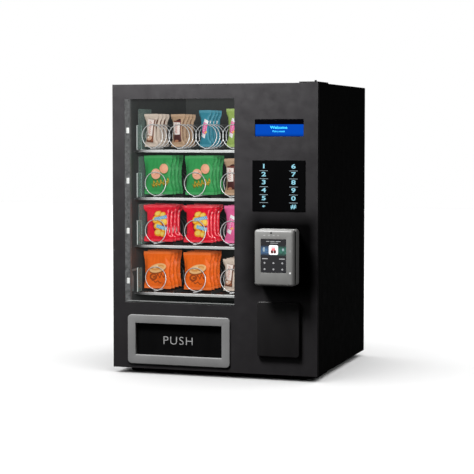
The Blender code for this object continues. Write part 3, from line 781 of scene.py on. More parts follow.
def build_display():
    display = node_box("display")
    sides = display.sides(-5.2 * MM)
    split = display.bottom + 4 * MM + 33.6 * MM
    s = Shader("lcd_window")
    up = s.axes()[2]
    lit = s.scaled(up, 1.0, 0.0, split - 0.4 * MM, split + 0.4 * MM)
    fade = s.scaled(up, 0.45, 1.0, display.bottom + 4 * MM, display.bottom + 13 * MM)
    rows = s.maths("SINE", s.times(up, 2 * math.pi / (1.1 * MM)))
    grid = s.scaled(rows, 0.92, 1.0, -1, 1)
    glow = s.times(s.times(lit, fade), grid)
    s.set(base_color=(0.001, 0.001, 0.002), roughness=0.2, specular_ior_level=0.03)
    s.set(emission_color=(0.0, 0.075, 0.56), emission_strength=glow)
    bm = bmesh.new()
    front = display.front
    add_loops(bm, crowned(sides, 1.2 * MM, front - 1.5 * MM, front - 0.1 * MM, 0.5 * MM))
    piece("lcd_screen", bm, s.material, "door")
    for number, text, height, z, widen in LCD_LINES:
        place = (LCD_MIDDLE, z * MM, front - 1.5 * MM)
        line = lettering(f"lcd_line_{number}", text, height * MM, place, lcd_cyan, "door", 0.03, widen)


KEY_COLUMNS = ((147.5, "12345*"), (231.9, "67890#"))
KEY_TOP = 589
KEY_PITCH = 21.8


def build_keypad():
    keypad = node_box("keypad")
    shell = refined("keypad", gloss_black, 0.6 * MM, 3)
    shell.name = "keypad_panel"
    y = keypad.front
    bars = bmesh.new()
    for x, keys in KEY_COLUMNS:
        for row, key in enumerate(keys):
            z = (KEY_TOP - KEY_PITCH * row) * MM
            size = 12 * MM if key != "*" else 9 * MM
            lift = 2.5 * MM if key == "*" else 0
            label = "star" if key == "*" else "hash" if key == "#" else key
            place = (x * MM, z - lift, y)
            digit = lettering("key_" + label, key, size, place, legend_cyan, "door", 0.035, 1.55)
            if row < len(keys) - 1:
                below = z - KEY_PITCH / 2 * MM - 1 * MM
                bar = outline(around(x * MM, below, 24 * MM, 1 * MM), 0.4 * MM, 3)
                add_loops(bars, [(bar, y), (bar, y - PRINT)])
    piece("key_separators", bars, legend_pale, "door")


def screen_material(screen):
    """The reader's display: near black, with a blue glow on the left and a green one on the right."""
    s = Shader("reader_screen")
    across, _, up = s.axes()
    band = s.maths("SUBTRACT", up, screen.top - 0.34 * screen.height)
    band = s.scaled(s.maths("ABSOLUTE", band), 1.0, 0.0, 4 * MM, 14 * MM)
    side = s.scaled(across, 0.0, 1.0, screen.x - 8 * MM, screen.x + 8 * MM)
    tint = s.mix(side, (0.1, 0.22, 0.42), (0.07, 0.27, 0.2))
    streak = s.scaled(s.noise(7 * MM, 3, s.stretched((1, 1, 2.2))), 0.25, 1.0, 0.3, 0.7)
    glow = s.times(band, streak)
    s.set(base_color=(0.006, 0.006, 0.007), roughness=0.15, specular_ior_level=0.3)
    s.set(emission_color=s.mix(glow, (0.03, 0.03, 0.032), tint), emission_strength=1.0)
    return s.material


READER_CORNER = 8 * MM
READER_WIDER, READER_LOWER = 2.5 * MM, 1.8 * MM  # against its CAD nodes
SCREEN_LEFT, SCREEN_RIGHT, SCREEN_BOTTOM, SCREEN_TOP = 157 * MM, 228 * MM, 303 * MM, 394 * MM


def build_reader():
    """The card reader: a case on the door, a groove filled with near-black as painted shade, and a lid that
    holds the screen.
    """
    housing = node_box("reader_housing")
    face = node_box("reader_front")
    for half in (housing, face):
        half.right += READER_WIDER
        half.bottom -= READER_LOWER
        half.top -= READER_LOWER
    face.front += 0.6 * MM  # room for the lamp, which stands out of the lid
    bm = bmesh.new()
    sides = housing.sides()
    door_side = node_box("door_panel").front - 0.3 * MM
    inset = 2.2 * MM
    inner = grown(sides, -inset)
    loops = [(outline(inner, 5 * MM), door_side)]
    loops += [(outline(sides, READER_CORNER), door_side - 3 * MM)]
    loops += [(outline(sides, READER_CORNER), housing.front + 12 * MM)]
    loops += [(outline(inner, READER_CORNER - inset), housing.front + 10.5 * MM)]
    add_loops(bm, loops)
    case = soften(piece("reader_case", bm, reader_grey, "door"), 0.5 * MM)
    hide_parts("reader_housing")

    # Painted shade: a near-black ring fills the groove between case and lid, where shade falls.
    bm = bmesh.new()
    groove = outline(grown(sides, -1.2 * MM), 7 * MM)
    add_loops(bm, [(groove, housing.front + 10.6 * MM), (groove, face.back - 1.8 * MM)])
    piece("reader_seal", bm, reader_dark, "door")

    bm = bmesh.new()
    screen = Box((SCREEN_LEFT, face.front, SCREEN_BOTTOM), (SCREEN_RIGHT, face.front, SCREEN_TOP))
    pocket = face.front + 1.5 * MM
    inset = 1.8 * MM
    loops = [(outline(face.sides(-inset), READER_CORNER - inset), face.back - 2 * MM)]
    loops += crowned(face.sides(), READER_CORNER, face.front, face.back - 4 * MM, 7.5 * MM, 8)
    for grow, y in ((1.2, 0), (0.7, 0.15), (0.35, 0.6), (0.3, 1.5)):
        loops.append((outline(screen.sides(grow * MM), 2 * MM), face.front + y * MM))
    add_loops(bm, loops)
    lid = piece("reader_lid", bm, reader_grey, "door", 32)
    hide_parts("reader_front")

    bm = bmesh.new()
    glass_front = pocket - 0.9 * MM
    add_loops(bm, crowned(screen.sides(), 1.5 * MM, glass_front, pocket + 0.1 * MM, 0.4 * MM))
    piece("reader_glass", bm, screen_material(screen), "door")
    build_screen_marks(screen, glass_front)
    build_lid_marks(screen, face)


def marks(name, shapes, y, material, depth=PRINT):
    """Flat printed shapes as one mesh; each is (sides, corner radius)."""
    bm = bmesh.new()
    for sides, radius in shapes:
        points = outline(sides, radius, 4)
        add_loops(bm, [(points, y), (points, y - depth)])
    return piece(name, bm, material, "door", 0)


def build_screen_marks(screen, y):
    """What the screen shows, as (sideways place, place below the top, width, height) in millimetres."""

    def placed(shapes, radius):
        spots = [(screen.x + x * MM, screen.top - down * MM, w * MM, h * MM) for x, down, w, h in shapes]
        return [(around(*spot), radius * MM) for spot in spots]

    marks("screen_tile", placed([(0, 29, 26, 26)], 4), y, tile_white)
    cup = placed([(0, 27.5, 11, 7)], 1.6) + placed([(0, 21, 13, 2)], 0.9)
    marks("tile_card", cup, y - PRINT, tile_red, 0.15 * MM)
    marks("tile_hands", placed([(-4, 34, 7, 9), (4, 34, 7, 9)], 2.5), y - PRINT, tile_dark, 0.15 * MM)
    strokes = placed([(-16, 6, 9, 1.6), (-3, 6, 12, 1.6), (13, 6, 14, 1.6), (2, 10.5, 22, 1.4)], 0.5)
    strokes += placed([(-24, 53, 16, 2.4), (24, 53, 16, 2.4)], 0.8)
    for down in (64.5, 81.5):
        for x in (-25, 0, 25):
            strokes += placed([(x, down, 5.5, 2.6), (x, down, 2.6, 5.5)], 1.2)
    marks("screen_marks", strokes, y, screen_mark)
    marks("screen_sparks", placed([(-27, 28, 5, 12), (27, 28, 5, 7)], 2), y, legend_pale)


LENS_PROFILE = ((0, 0.5), (2.2, 0.5), (2.6, 0.3), (2.8, -0.6), (0, -0.6))


def build_lid_marks(screen, face):
    """The lid's camera, its lamp and the pale marks printed on it."""
    spot = [(r * MM, h * MM) for r, h in LENS_PROFILE]
    lamp_x = face.right - 9 * MM
    bm = bmesh.new()
    add_turned(bm, spot, (lamp_x, face.front, face.bottom + 36.8 * MM), (0, -1, 0))
    piece("reader_lamp", bm, lamp_white, "door")
    bm = bmesh.new()
    add_turned(bm, spot, (face.x - 6 * MM, face.front, face.top - 8.5 * MM), (0, -1, 0))
    piece("reader_camera", bm, reader_dark, "door")
    level = face.top - 15.2 * MM
    ticks = [(around(face.x + dx * MM, level, 5.5 * MM, 2.6 * MM), 1 * MM) for dx in (-25, -12, 1, 14)]
    ticks.append((around(lamp_x, screen.z + 14 * MM, 2 * MM, 7 * MM), 0.9 * MM))
    marks("reader_ticks", ticks, face.front + 0.02 * MM, tick_white, 0.15 * MM)


def build_cover():
    cover = node_box("blanking_cover")
    bm = bmesh.new()
    loops = crowned(cover.sides(), 9 * MM, cover.front, cover.back, 3 * MM, 5)
    inner = cover.sides(-4 * MM)
    loops = [(outline(inner, 6 * MM), cover.back), *loops]
    loops.insert(0, (outline(inner, 6 * MM), cover.front + 3 * MM))
    add_loops(bm, loops)
    obj = piece("cover_shell", bm, cover_black, "door", 32)
    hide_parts("blanking_cover")


FLAP_OPENING = (-231 * MM, 25.5 * MM, 54 * MM, 144 * MM)
FRAME_BACK = -236 * MM


def build_delivery():
    """The rounded grey frame round the flap, the flap, and its word."""
    rim = node_box("flap_frame")
    wall = outline(grown(FLAP_OPENING, 4 * MM), 3 * MM)
    door_front = node_box("door_panel").front - 0.3 * MM
    bm = bmesh.new()
    loops = [(wall, FRAME_BACK), (wall, door_front)]
    loops += crowned(rim.sides(), 12 * MM, rim.front, door_front, 2.2 * MM, 5)
    lip = 1.6 * MM
    for i in range(5):
        angle = math.pi / 2 * i / 4
        inner = grown(FLAP_OPENING, lip * (1 - math.sin(angle)))
        loops.append((outline(inner, 2 * MM), rim.front + lip * (1 - math.cos(angle))))
    loops.append((outline(FLAP_OPENING, 2 * MM), FRAME_BACK))
    add_loops(bm, loops, closed=True)
    trim = piece("flap_trim", bm, grey_trim, "door", 32)
    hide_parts("flap_frame")
    flap = node_box("delivery_flap")
    refined("delivery_flap", black_plastic, 0.7 * MM, 3)
    place = (-107 * MM, 95.8 * MM, flap.back - 3 * MM)
    word = lettering("push_word", "PUSH", 23.8 * MM, place, push_print, "flap", -0.02, 1.09, 1.14)


# Trays and coils


FLOOR_ABOVE_RAIL = 7.2 * MM  # from the price rail's lower edge to the top of the tray's floor
SHEET = 2 * MM
RAIL_DEPTH = 4 * MM
GUIDE_SHEET = 1.2 * MM


def build_tray(number):
    """The steel tray with its rolled price rail, and the clear guide beside the first coil."""
    tray = node_box(f"tray_{number}")
    floor = tray.bottom + FLOOR_ABOVE_RAIL
    rail_back = tray.front + RAIL_DEPTH
    build_deck(number, tray, floor, rail_back)
    build_price_rail(number, tray, floor + 1 * MM, rail_back)
    build_guide(number, tray, floor + 1 * MM, rail_back + 4 * MM)


def build_deck(number, tray, floor, rail_back):
    foot = floor - 1 * MM
    bm = bmesh.new()
    add_box(bm, tray.left, tray.right, rail_back, tray.back, floor - SHEET, floor)
    for left, right in ((tray.left, tray.left + 1.5 * MM), (tray.right - 1.5 * MM, tray.right)):
        add_box(bm, left, right, rail_back + 2 * MM, tray.back, foot, floor + 25 * MM)
    add_box(bm, tray.left, tray.right, tray.back - 1.5 * MM, tray.back, foot, floor + 18 * MM)
    middles = [node_box(n).x for n in sorted(frame["nodes"]) if n.startswith(f"coil_{number}_")]
    for first, second in zip(middles, middles[1:]):
        x = (first + second) / 2
        rear = tray.back - 1 * MM
        add_box(bm, x - 0.75 * MM, x + 0.75 * MM, rail_back + 4 * MM, rear, foot, floor + 8 * MM)
    deck = soften(piece(f"tray_{number}_deck", bm, inner_paint, "cabinet"), 0.4 * MM)
    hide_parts(f"tray_{number}")


def build_price_rail(number, tray, high, back):
    low = tray.bottom
    profile = (
        (back, high),
        (tray.front + 0.8 * MM, high),
        (tray.front, high - 1.0 * MM),
        (tray.front, low + 1.0 * MM),
        (tray.front + 0.8 * MM, low),
        (back, low),
        (back, low + 1.2 * MM),
        (tray.front + 1.3 * MM, low + 1.3 * MM),
        (tray.front + 1.3 * MM, high - 1.3 * MM),
        (back, high - 1.2 * MM),
    )
    bm = bmesh.new()
    add_prism(bm, profile, tray.left, tray.right)
    rail = soften(piece(f"price_rail_{number}", bm, tray_paint, "cabinet"), 0.25 * MM)


def build_guide(number, tray, low, tall_front):
    """A clear tab with bright cut edges and, on the top tray only, a tall clear sheet behind it."""
    tall = tray.top - low > 100 * MM
    x = tray.left + 2.2 * MM
    tab = (tray.front + 2 * MM, tray.front + 35 * MM, low, low + 69 * MM)
    bm = bmesh.new()
    add_prism(bm, outline(tab, 3 * MM, 4), x, x + GUIDE_SHEET)
    if tall:
        sheet = (tall_front, tray.front + 107 * MM, low, tray.top)
        add_prism(bm, outline(sheet, 3 * MM, 4), x + 2 * GUIDE_SHEET, x + 3 * GUIDE_SHEET)
    guide = piece(f"lane_guide_{number}", bm, guide_plastic, "cabinet", 30)
    front, back, bottom, top = tab
    edge = 1.0 * MM
    bm = bmesh.new()
    loop = [(front, bottom), (front, top), (back, top), (back, bottom)]
    if not tall:
        loop = loop[:2] + [(front + 6 * MM, top)]
    for (y0, z0), (y1, z1) in zip(loop, loop[1:]):
        low_y, high_y = min(y0, y1) - edge, max(y0, y1) + edge
        low_z, high_z = min(z0, z1) - edge / 2, max(z0, z1) + edge
        add_box(bm, x - 0.8 * MM, x + 1.6 * MM, low_y, high_y, low_z, high_z)
    soften(piece(f"guide_edge_{number}", bm, guide_edge, "cabinet"), 0.3 * MM)


COIL_TURNS = 8
TURN_STEPS = 32
COIL_PITCH = 30 * MM
WIRE_INSET = 1.9 * MM  # from the CAD coil's front to the middle of the wire


def build_coil(node):
    """A wire coil that starts at the bottom, goes round to the right, and ends in a tail on its axis."""
    coil = node_box(node)
    radius = coil.width / 2 - 2 * MM
    axis = coil.top - 2 * MM - radius
    front = coil.front + WIRE_INSET
    points = []
    for i in range(COIL_TURNS * TURN_STEPS + 1):
        turn = i / TURN_STEPS
        angle = 2 * math.pi * turn
        x, z = coil.x + radius * math.sin(angle), axis - radius * math.cos(angle)
        points.append((x, front + COIL_PITCH * turn, z))
    end = front + COIL_PITCH * COIL_TURNS
    for i in range(1, 9):
        share = i / 8
        ease = share * share * (3 - 2 * share)
        points.append((coil.x, end + 8 * MM * share, axis - radius * (1 - ease)))
    points.append((coil.x, coil.back, axis))
    obj = wire_curve(node + "_wire", points, 1.15 * MM, coil_wire, node)
    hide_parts(node)


# Snack bags


def flat_pouch(width, height, across, up, waist):
    """Two sheets of film joined round their edges, laid flat, with the film's print coordinates."""
    seal = FILM_SEAL * MM
    bm = bmesh.new()
    layer = bm.loops.layers.uv.new("print")
    verts = {}

    def vert(i, j, side):
        edge = i in (0, across) or j in (0, up)
        key = (i, j, 0 if edge else side)
        if key not in verts:
            z = (j / up - 0.5) * height
            body = max(0.0, min(1.0, (height / 2 - seal - abs(z)) / (20 * MM)))
            x = (i / across - 0.5) * width * (1 - waist * body * body * (3 - 2 * body))
            inside = min(width / 2 - abs(x), height / 2 - seal - abs(z)) / (3 * MM)
            y = key[2] * (0.15 + 0.6 * max(0.0, min(1.0, inside))) * MM
            verts[key] = bm.verts.new((x, y, z))
        return verts[key]

    for side in (-1, 1):
        for j in range(up):
            for i in range(across):
                corners = [(i, j), (i + 1, j), (i + 1, j + 1), (i, j + 1)]
                if side > 0:
                    corners.reverse()
                face = bm.faces.new([vert(a, b, side) for a, b in corners])
                for loop, (a, b) in zip(face.loops, corners):
                    u = (a / across - 0.5) * width / MM
                    v = (b / up - 0.5) * height / MM
                    loop[layer].uv = (u if side < 0 else u + 1000, v)
    return bm


CLOTH_SCALE = 8.0  # the cloth solver suits larger pieces than these
BLOWN_DEPTH = 7.5 * MM  # half a bag's thickness


def inflated(name, width, height, across, up, waist, pressure, slack, seed):
    bm = flat_pouch(width, height, across, up, waist)
    seal_at = height / 2 - FILM_SEAL * MM
    mesh = bpy.data.meshes.new(name)
    bm.to_mesh(mesh)
    bm.free()
    random = np.random.default_rng(seed)
    for v in mesh.vertices:
        if abs(v.co.z) < seal_at and v.co.y:
            v.co.y += random.uniform(-0.25, 0.25) * MM
    mesh.transform(Matrix.Scale(CLOTH_SCALE, 4))
    obj = bpy.data.objects.new(name, mesh)
    bpy.context.scene.collection.objects.link(obj)
    held = obj.vertex_groups.new(name="held")
    held.add([v.index for v in mesh.vertices if abs(v.co.z) > seal_at * CLOTH_SCALE], 1.0, "REPLACE")
    cloth = obj.modifiers.new("Cloth", "CLOTH")
    settings = cloth.settings
    settings.quality = 6
    settings.mass = 0.15
    settings.tension_stiffness = settings.compression_stiffness = 60
    settings.shear_stiffness = 30
    settings.bending_stiffness = 0.08
    settings.vertex_group_mass = "held"
    settings.shrink_min = -slack
    settings.use_pressure = True
    settings.uniform_pressure_force = pressure
    settings.effector_weights.gravity = 0
    settings.air_damping = 4
    cloth.collision_settings.use_collision = False
    frames = 26
    cloth.point_cache.frame_end = frames
    scene = bpy.context.scene
    for number in range(1, frames + 1):
        scene.frame_set(number)
    graph = bpy.context.evaluated_depsgraph_get()
    blown = bpy.data.meshes.new_from_object(obj.evaluated_get(graph))
    scene.frame_set(1)
    bpy.data.objects.remove(obj, do_unlink=True)
    blown.transform(Matrix.Scale(1 / CLOTH_SCALE, 4))
    thickest = max(abs(v.co.y) for v in blown.vertices)
    for v in blown.vertices:
        v.co.y *= BLOWN_DEPTH / thickest
    return blown


# How a lane's bags stand off the CAD ones, as (sideways shift, width), in millimetres
BAG_FIT = {
    "snacks_1_3": (1.5, 38),
    "snacks_1_4": (2.5, 40),
    "snacks_2_1": (3.5, 91),
    "snacks_2_2": (7.0, 91),
    "snacks_3_1": (2.5, 93),
    "snacks_3_2": (2.5, 94),
    "snacks_4_3": (-4.0, 44),
}

BAG_SLANT = -0.12  # how each bag turns about the vertical, to lie between two turns
BAG_LEANS = (-0.8, 0.6, -0.4, 0.9)  # in degrees


def build_bags(node, shapes, material):
    """Four bags standing between the turns of one coil, each a copy of one of the blown shapes."""
    lane = node_box(node)
    coil = node_box(node.replace("snacks", "coil"))
    first = coil.front + WIRE_INSET + COIL_PITCH
    print_shift = 0.12 * lane.width / MM  # the bags behind are printed a little to the left
    shift, width = BAG_FIT.get(node, (0.0, lane.width / MM))
    bm = bmesh.new()
    for number, degrees in enumerate(BAG_LEANS):
        shape = shapes[number % len(shapes)].copy()
        size = max(v.co.z for v in shape.vertices) * 2
        widest = max(v.co.x for v in shape.vertices) * 2
        scale = Matrix.Diagonal((width * MM / widest, 1, lane.height / size, 1))
        lean = Matrix.Rotation(math.radians(degrees), 4, "Y")
        slide = Matrix.Translation((lane.x + shift * MM, first + COIL_PITCH * number, lane.z))
        shape.transform(slide @ lean @ scale)
        for v in shape.vertices:
            v.co.y += BAG_SLANT * (v.co.x - coil.x)
        if number:
            for corner in shape.uv_layers["print"].data:
                corner.uv.x += print_shift
        bm.from_mesh(shape)
    bags = piece(node.replace("snacks", "bags"), bm, material, node, 60)
    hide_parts(node)


# The pictures on each film, laid one over another: a shape of Shader, its place and size in millimetres
# with what else the shape takes, and its ink.

CHOCOLATE = (
    ("panel", 0, -1, 25, 70, -9, (0.16, 0.055, 0.03)),
    ("panel", -1.5, 9, 21, 48, -9, (0.88, 0.76, 0.7)),
    ("wave", -1.5, 9, 36, 6, 1.6, 7, 81, (0.6, 0.16, 0.12)),
    ("ellipse", -5, -22, 19, 13, 20, (0.74, 0.44, 0.3)),
    ("ellipse", -9, -20, 8, 6, 0, (0.93, 0.8, 0.7)),
    ("ellipse", 4, -29, 10, 6, 30, (0.3, 0.1, 0.05)),
)
BLOCK = (
    ("ellipse", 4, 29, 17, 9, 20, (0.05, 0.012, 0.01)),
    ("panel", 1, -1, 25, 60, 0, (0.17, 0.04, 0.028)),
    ("panel", -3, 6, 25, 36, -3, (0.88, 0.78, 0.73)),
    ("wave", -3, 6, 28, 6, 1.7, 5, 86, (0.6, 0.16, 0.13)),
    ("panel", -1, -23, 25, 22, 4, (0.07, 0.017, 0.016)),
    ("ellipse", -4, -31, 14, 8, 10, (0.45, 0.2, 0.11)),
)
BANNER = (
    ("panel", 0, 0, 17, 48, -21, (0.9, 0.88, 0.89)),
    ("panel", 0.5, 1, 16, 29, -21, (0.85, 0.12, 0.36)),
    ("wave", 0, 2, 24, 5, 1.2, 5, 69, (0.92, 0.72, 0.8)),
    ("ellipse", 4, -10, 10, 5, 20, (0.95, 0.45, 0.1)),
)
PEACHES = (
    ("ellipse", -4, 0, 32, 32, (0.03, 0.2, 0.04)),
    ("ellipse", 20, 15, 29, 29, (0.03, 0.2, 0.04)),
    ("ellipse", 19.5, 17, 26, 26, (0.9, 0.4, 0.25)),
    ("ellipse", 22, 19, 14, 17, 20, (0.95, 0.48, 0.3)),
    ("ellipse", -5, 3, 29, 28, (0.92, 0.45, 0.3)),
    ("ellipse", -9, 7, 15, 11, 30, (1.0, 0.58, 0.43)),
    ("wave", -5, 4, 22, 6, 0.8, 1, 12, (0.8, 0.27, 0.15)),
    ("wave", 8, -21, 56, 13, 6.0, 5, 9, (0.12, 0.15, 0.012)),
    ("wave", 8, -20.5, 54, 11, 3.0, 5, 9, (0.56, 0.38, 0.03)),
    ("wave", 8, -24, 52, 6, 3.2, 3, 9, (0.2, 0.16, 0.015)),
    ("wave", 8, -23.5, 50, 5, 1.4, 3, 9, (0.6, 0.42, 0.04)),
)
CHIP_SPOTS = ((2, 27, 24, 17), (18, 24, 20, 16), (-5, 10, 22, 22), (12, 12, 26, 16), (24, 5, 18, 20))
CHIP_SPOTS += ((2, -6, 28, 18), (2, -26, 26, 22), (16, -30, 20, 18), (22, -17, 16, 14))
CHIPS = (
    ("ellipse", 8, -2, 48, 78, 8, (0.4, 0.003, 0.02)),
    *(
        row
        for x, z, width, height in CHIP_SPOTS
        for row in (
            ("ellipse", x, z, width, height, 20, (1.0, 0.42, 0.02)),
            ("ellipse", x - 1, z + 1, width * 0.7, height * 0.62, 20, (1.0, 0.72, 0.14)),
        )
    ),
    ("panel", 11, 15, 42, 9, 10, (0.14, 0.42, 0.7)),
    ("wave", 11, 15, 32, 4, 1.0, 6, 10, (0.7, 0.84, 0.93)),
    ("panel", 14, -11, 34, 10, -14, (0.2, 0.52, 0.75)),
    ("wave", 14, -11, 26, 4, 1.0, 5, -14, (0.7, 0.84, 0.93)),
)
BOWL = (
    ("ellipse", 3, 3, 56, 26, 13, (0.36, 0.08, 0.012)),
    ("ellipse", 3, 6, 55, 24, 13, (0.9, 0.52, 0.22)),
    ("ellipse", 3, 7, 42, 14, 13, (0.78, 0.33, 0.09)),
    ("ellipse", -3, 9, 18, 8, 18, (0.95, 0.66, 0.34)),
    ("ellipse", 14, 8, 14, 6, 0, (0.88, 0.48, 0.18)),
    ("ellipse", -12, -19, 24, 20, 10, (0.36, 0.06, 0.008)),
    ("ellipse", -11, -18.5, 15, 11, 10, (0.84, 0.17, 0.012)),
    ("ellipse", -9, -19, 8, 6, 10, (0.36, 0.06, 0.008)),
    ("wave", 12, -15, 36, 10, 3.4, 3, 6, (0.36, 0.06, 0.008)),
    ("wave", -2, -33, 32, 5, 2.2, 2, -8, (0.42, 0.07, 0.01)),
)
FILMS = {
    "film_cream": ((0.66, 0.54, 0.45), CHOCOLATE, 0.42, 0.2),
    "film_tan": ((0.49, 0.32, 0.2), BLOCK, 0.44, 0.2),
    "film_teal": ((0.035, 0.25, 0.34), BANNER, 0.4, 0.2),
    "film_lime": ((0.33, 0.46, 0.11), BANNER, 0.4, 0.2),
    "film_green": ((0.035, 0.33, 0.085), PEACHES, 0.42, 0.15),
    "film_red": ((0.92, 0.005, 0.032), CHIPS, 0.24, 0.7),
    "film_pink": ((0.8, 0.13, 0.33), BANNER, 0.4, 0.2),
    "film_orange": ((1.0, 0.155, 0.008), BOWL, 0.42, 0.15),
}

# Each kind of bag, as (width, height, faces across, faces up, waist, pressure, slack)
WIDE_BAG = (88 * MM, 108 * MM, 40, 48, 0.03, 11, 0.05)
FULL_BAG = (88 * MM, 108 * MM, 40, 48, 0.13, 16, 0.07)
BAR_BAG = (44 * MM, 100 * MM, 22, 48, 0.12, 18, 0.05)


def build_stock():
    wide = [inflated(f"wide_bag_{n}", *WIDE_BAG, n) for n in (1, 2)]
    full = [inflated(f"full_bag_{n}", *FULL_BAG, n) for n in (5, 6)]
    bars = [inflated(f"bar_bag_{n}", *BAR_BAG, n) for n in (3, 4)]
    films = {}
    for node in sorted(n for n in frame["nodes"] if n.startswith("snacks_")):
        slot = frame["nodes"][node].data.materials[0].name.split(".")[0]
        is_wide = node_box(node).width > 60 * MM
        if slot not in films:
            colour, prints, roughness, gloss = FILMS[slot]
            height = (WIDE_BAG if is_wide else BAR_BAG)[1]
            films[slot] = film(slot, colour, height / 2 / MM, prints, roughness, gloss)
        shapes = bars if not is_wide else full if slot == "film_red" else wide
        build_bags(node, shapes, films[slot])


# Surroundings


def build_floor():
    bm = bmesh.new()
    add_box(bm, -9, 9, -9, 9, -0.02, 0)
    mesh = bpy.data.meshes.new("floor")
    bm.to_mesh(mesh)
    bm.free()
    floor = bpy.data.objects.new("floor", mesh)
    bpy.context.scene.collection.objects.link(floor)
    s = Shader("studio_floor")
    s.set(base_color=(0.82, 0.82, 0.82), roughness=0.9, specular_ior_level=0.0)
    dim = s.add("ShaderNodeBsdfDiffuse")
    dim.inputs["Color"].default_value = (0.02, 0.02, 0.02, 1)
    seen = s.add("ShaderNodeLightPath").outputs["Is Camera Ray"]
    join = s.add("ShaderNodeMixShader")
    s.feed(join.inputs["Fac"], seen)
    s.feed(join.inputs[1], dim.outputs[0])
    s.feed(join.inputs[2], s.surface.outputs[0])
    s.feed(s.output.inputs["Surface"], join.outputs[0])
    mesh.materials.append(s.material)
    floor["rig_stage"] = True
    return floor


def build_world():
    """White where the camera sees it, and dim for the light that it gives the model."""
    world = bpy.data.worlds.new("studio")
    world.use_nodes = True
    tree = world.node_tree
    seen = tree.nodes["Background"]
    seen.inputs["Color"].default_value = (1, 1, 1, 1)
    dim = tree.nodes.new("ShaderNodeBackground")
    dim.inputs["Color"].default_value = (1, 1, 1, 1)
    dim.inputs["Strength"].default_value = 0.012
    path = tree.nodes.new("ShaderNodeLightPath")
    join = tree.nodes.new("ShaderNodeMixShader")
    tree.links.new(path.outputs["Is Camera Ray"], join.inputs["Fac"])
    tree.links.new(dim.outputs[0], join.inputs[1])
    tree.links.new(seen.outputs[0], join.inputs[2])
    tree.links.new(join.outputs[0], tree.nodes["World Output"].inputs["Surface"])
    bpy.context.scene.world = world


def soft_light(name, place, target, size, power):
    lamp = bpy.data.lights.new(name, "AREA")
    lamp.shape = "RECTANGLE"
    lamp.size, lamp.size_y = size
    lamp.energy = power
    obj = bpy.data.objects.new(name, lamp)
    obj.location = place
    obj.rotation_euler = (Vector(target) - Vector(place)).to_track_quat("-Z", "Y").to_euler()
    obj.visible_camera = False
    bpy.context.scene.collection.objects.link(obj)
    return obj


def light_only(lamp, objects, state):
    """Limits a lamp to these objects, or with EXCLUDE keeps it off them."""
    group = bpy.data.collections.new(lamp.name + "_targets")
    lamp.light_linking.receiver_collection = group
    for obj in objects:
        group.objects.link(obj)
    for entry in group.collection_objects:
        entry.light_linking.link_state = state


def shaded_by(lamp, objects):
    """Lets only these objects cast shadows from a lamp."""
    group = bpy.data.collections.new(lamp.name + "_blockers")
    lamp.light_linking.blocker_collection = group
    for obj in objects:
        group.objects.link(obj)


# Light on the floor alone, as (azimuth in degrees, share of the whole)
FLOOR_LIGHTS = ((-70, 0.34), (20, 0.26), (90, 0.2), (180, 0.2))
FLOOR_LIGHT = 4.6
FLOOR_ELEVATION = 52

READER_LIGHTS = (
    ("reader_top", (0.0, -0.6, 0.85), (0.25, 0.25), 4.6),
    ("reader_side", (1.5, -1.3, 1.1), (0.4, 0.5), 5),
)


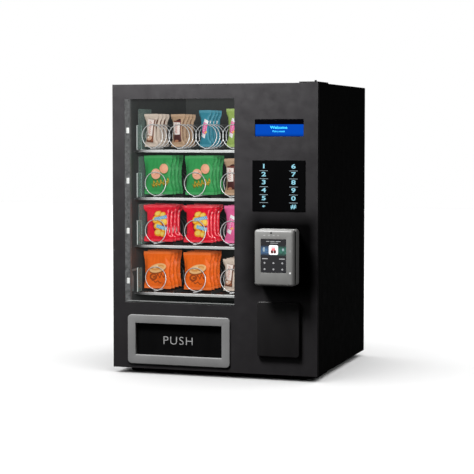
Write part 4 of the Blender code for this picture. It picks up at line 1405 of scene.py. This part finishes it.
def build_lights(floor, stock):
    """Lamps for the body, the bay's contents, the reader and the floor, which each have their own."""
    for azimuth, share in FLOOR_LIGHTS:
        data = bpy.data.lights.new(f"floor_sky_{azimuth}", "SUN")
        data.energy = FLOOR_LIGHT * share / math.sin(math.radians(FLOOR_ELEVATION))
        data.angle = math.radians(70)
        sun = bpy.data.objects.new(data.name, data)
        sun.rotation_euler = (math.radians(90 - FLOOR_ELEVATION), 0, math.radians(azimuth))
        bpy.context.scene.collection.objects.link(sun)
        light_only(sun, [floor], "INCLUDE")
    middle = (0, -0.24, 0.45)
    cards = (
        ("key", (-0.38, -0.95, 1.6), (0.5, 0.4), 54),
        ("key_high", (-1.5, -1.5, 1.2), (1.0, 0.6), 5.5),
        ("key_low", (-1.5, -1.6, 0.5), (1.0, 0.6), 0.8),
    )
    reader = [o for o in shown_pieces() if o.name.startswith("reader_")]
    in_bay = [o for o in stock if not o.name.startswith("price_rail_")]
    for name, place, size, power in cards:
        light_only(soft_light(name, place, middle, size, power), [floor, *reader, *in_bay], "EXCLUDE")
    window = node_box("window_glass")
    outside = (0.9, -2.6, 0.95)
    pack = soft_light("pack_light", outside, (window.x, -0.1, window.z), (1.3, 1.0), 72)
    light_only(pack, in_bay, "INCLUDE")
    shaded_by(pack, [o for o in stock if o.name.startswith(("bags_", "coil_", "tray_", "price_"))])
    for name, place, size, power in READER_LIGHTS:
        light_only(soft_light(name, place, (0.2, -0.28, 0.35), size, power), reader, "INCLUDE")
    rear = soft_light("rear_fill", (-1.6, 2.4, 1.6), (0, 0.3, 0.4), (1.6, 1.6), 60)
    light_only(rear, [floor], "EXCLUDE")
    side = soft_light("side_fill", (2.6, 0.1, 1.0), (0.3, 0.05, 0.4), (1.2, 1.6), 3)
    light_only(side, [floor], "EXCLUDE")


def build_camera():
    """The photo's camera, solved from the door's corners."""
    data = bpy.data.cameras.new("camera")
    data.lens = 116.38
    data.sensor_width = 36
    data.shift_y = -0.03
    data.clip_start = 0.1
    data.clip_end = 60
    camera = bpy.data.objects.new("camera", data)
    camera.location = (1.3832, -4.2507, 0.6833)
    camera.rotation_euler = (math.radians(90 - 3.397), 0, math.radians(18.145))
    bpy.context.scene.collection.objects.link(camera)
    bpy.context.scene.camera = camera


build_camera()
build_casings()
build_fasteners()
build_inlet_pins()
build_gasket()
build_liner()
build_window()
build_light_strip()
build_latch()
build_display()
build_keypad()
build_reader()
build_cover()
build_delivery()
for tray_number in range(1, 5):
    build_tray(tray_number)
coil_front = node_box("coil_1_1").front
# Painted shade: the coil wires are darkened deeper in the bay, where the bags and trays shade them.
painted_shade_behind(coil_wire, coil_front + 70 * MM, coil_front + 130 * MM, 0.15)
for coil_node in sorted(n for n in frame["nodes"] if n.startswith("coil_")):
    build_coil(coil_node)
build_stock()
build_world()
IN_BAY = ("bags_", "coil_", "tray_", "price_rail_", "lane_guide_", "guide_edge_", "bay_", "lamp_strip_")
stock = [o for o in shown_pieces() if o.name.startswith(IN_BAY)] + [frame["nodes"]["led_strip"]]
build_lights(build_floor(), stock)
bpy.context.scene.view_settings.view_transform = "Standard"
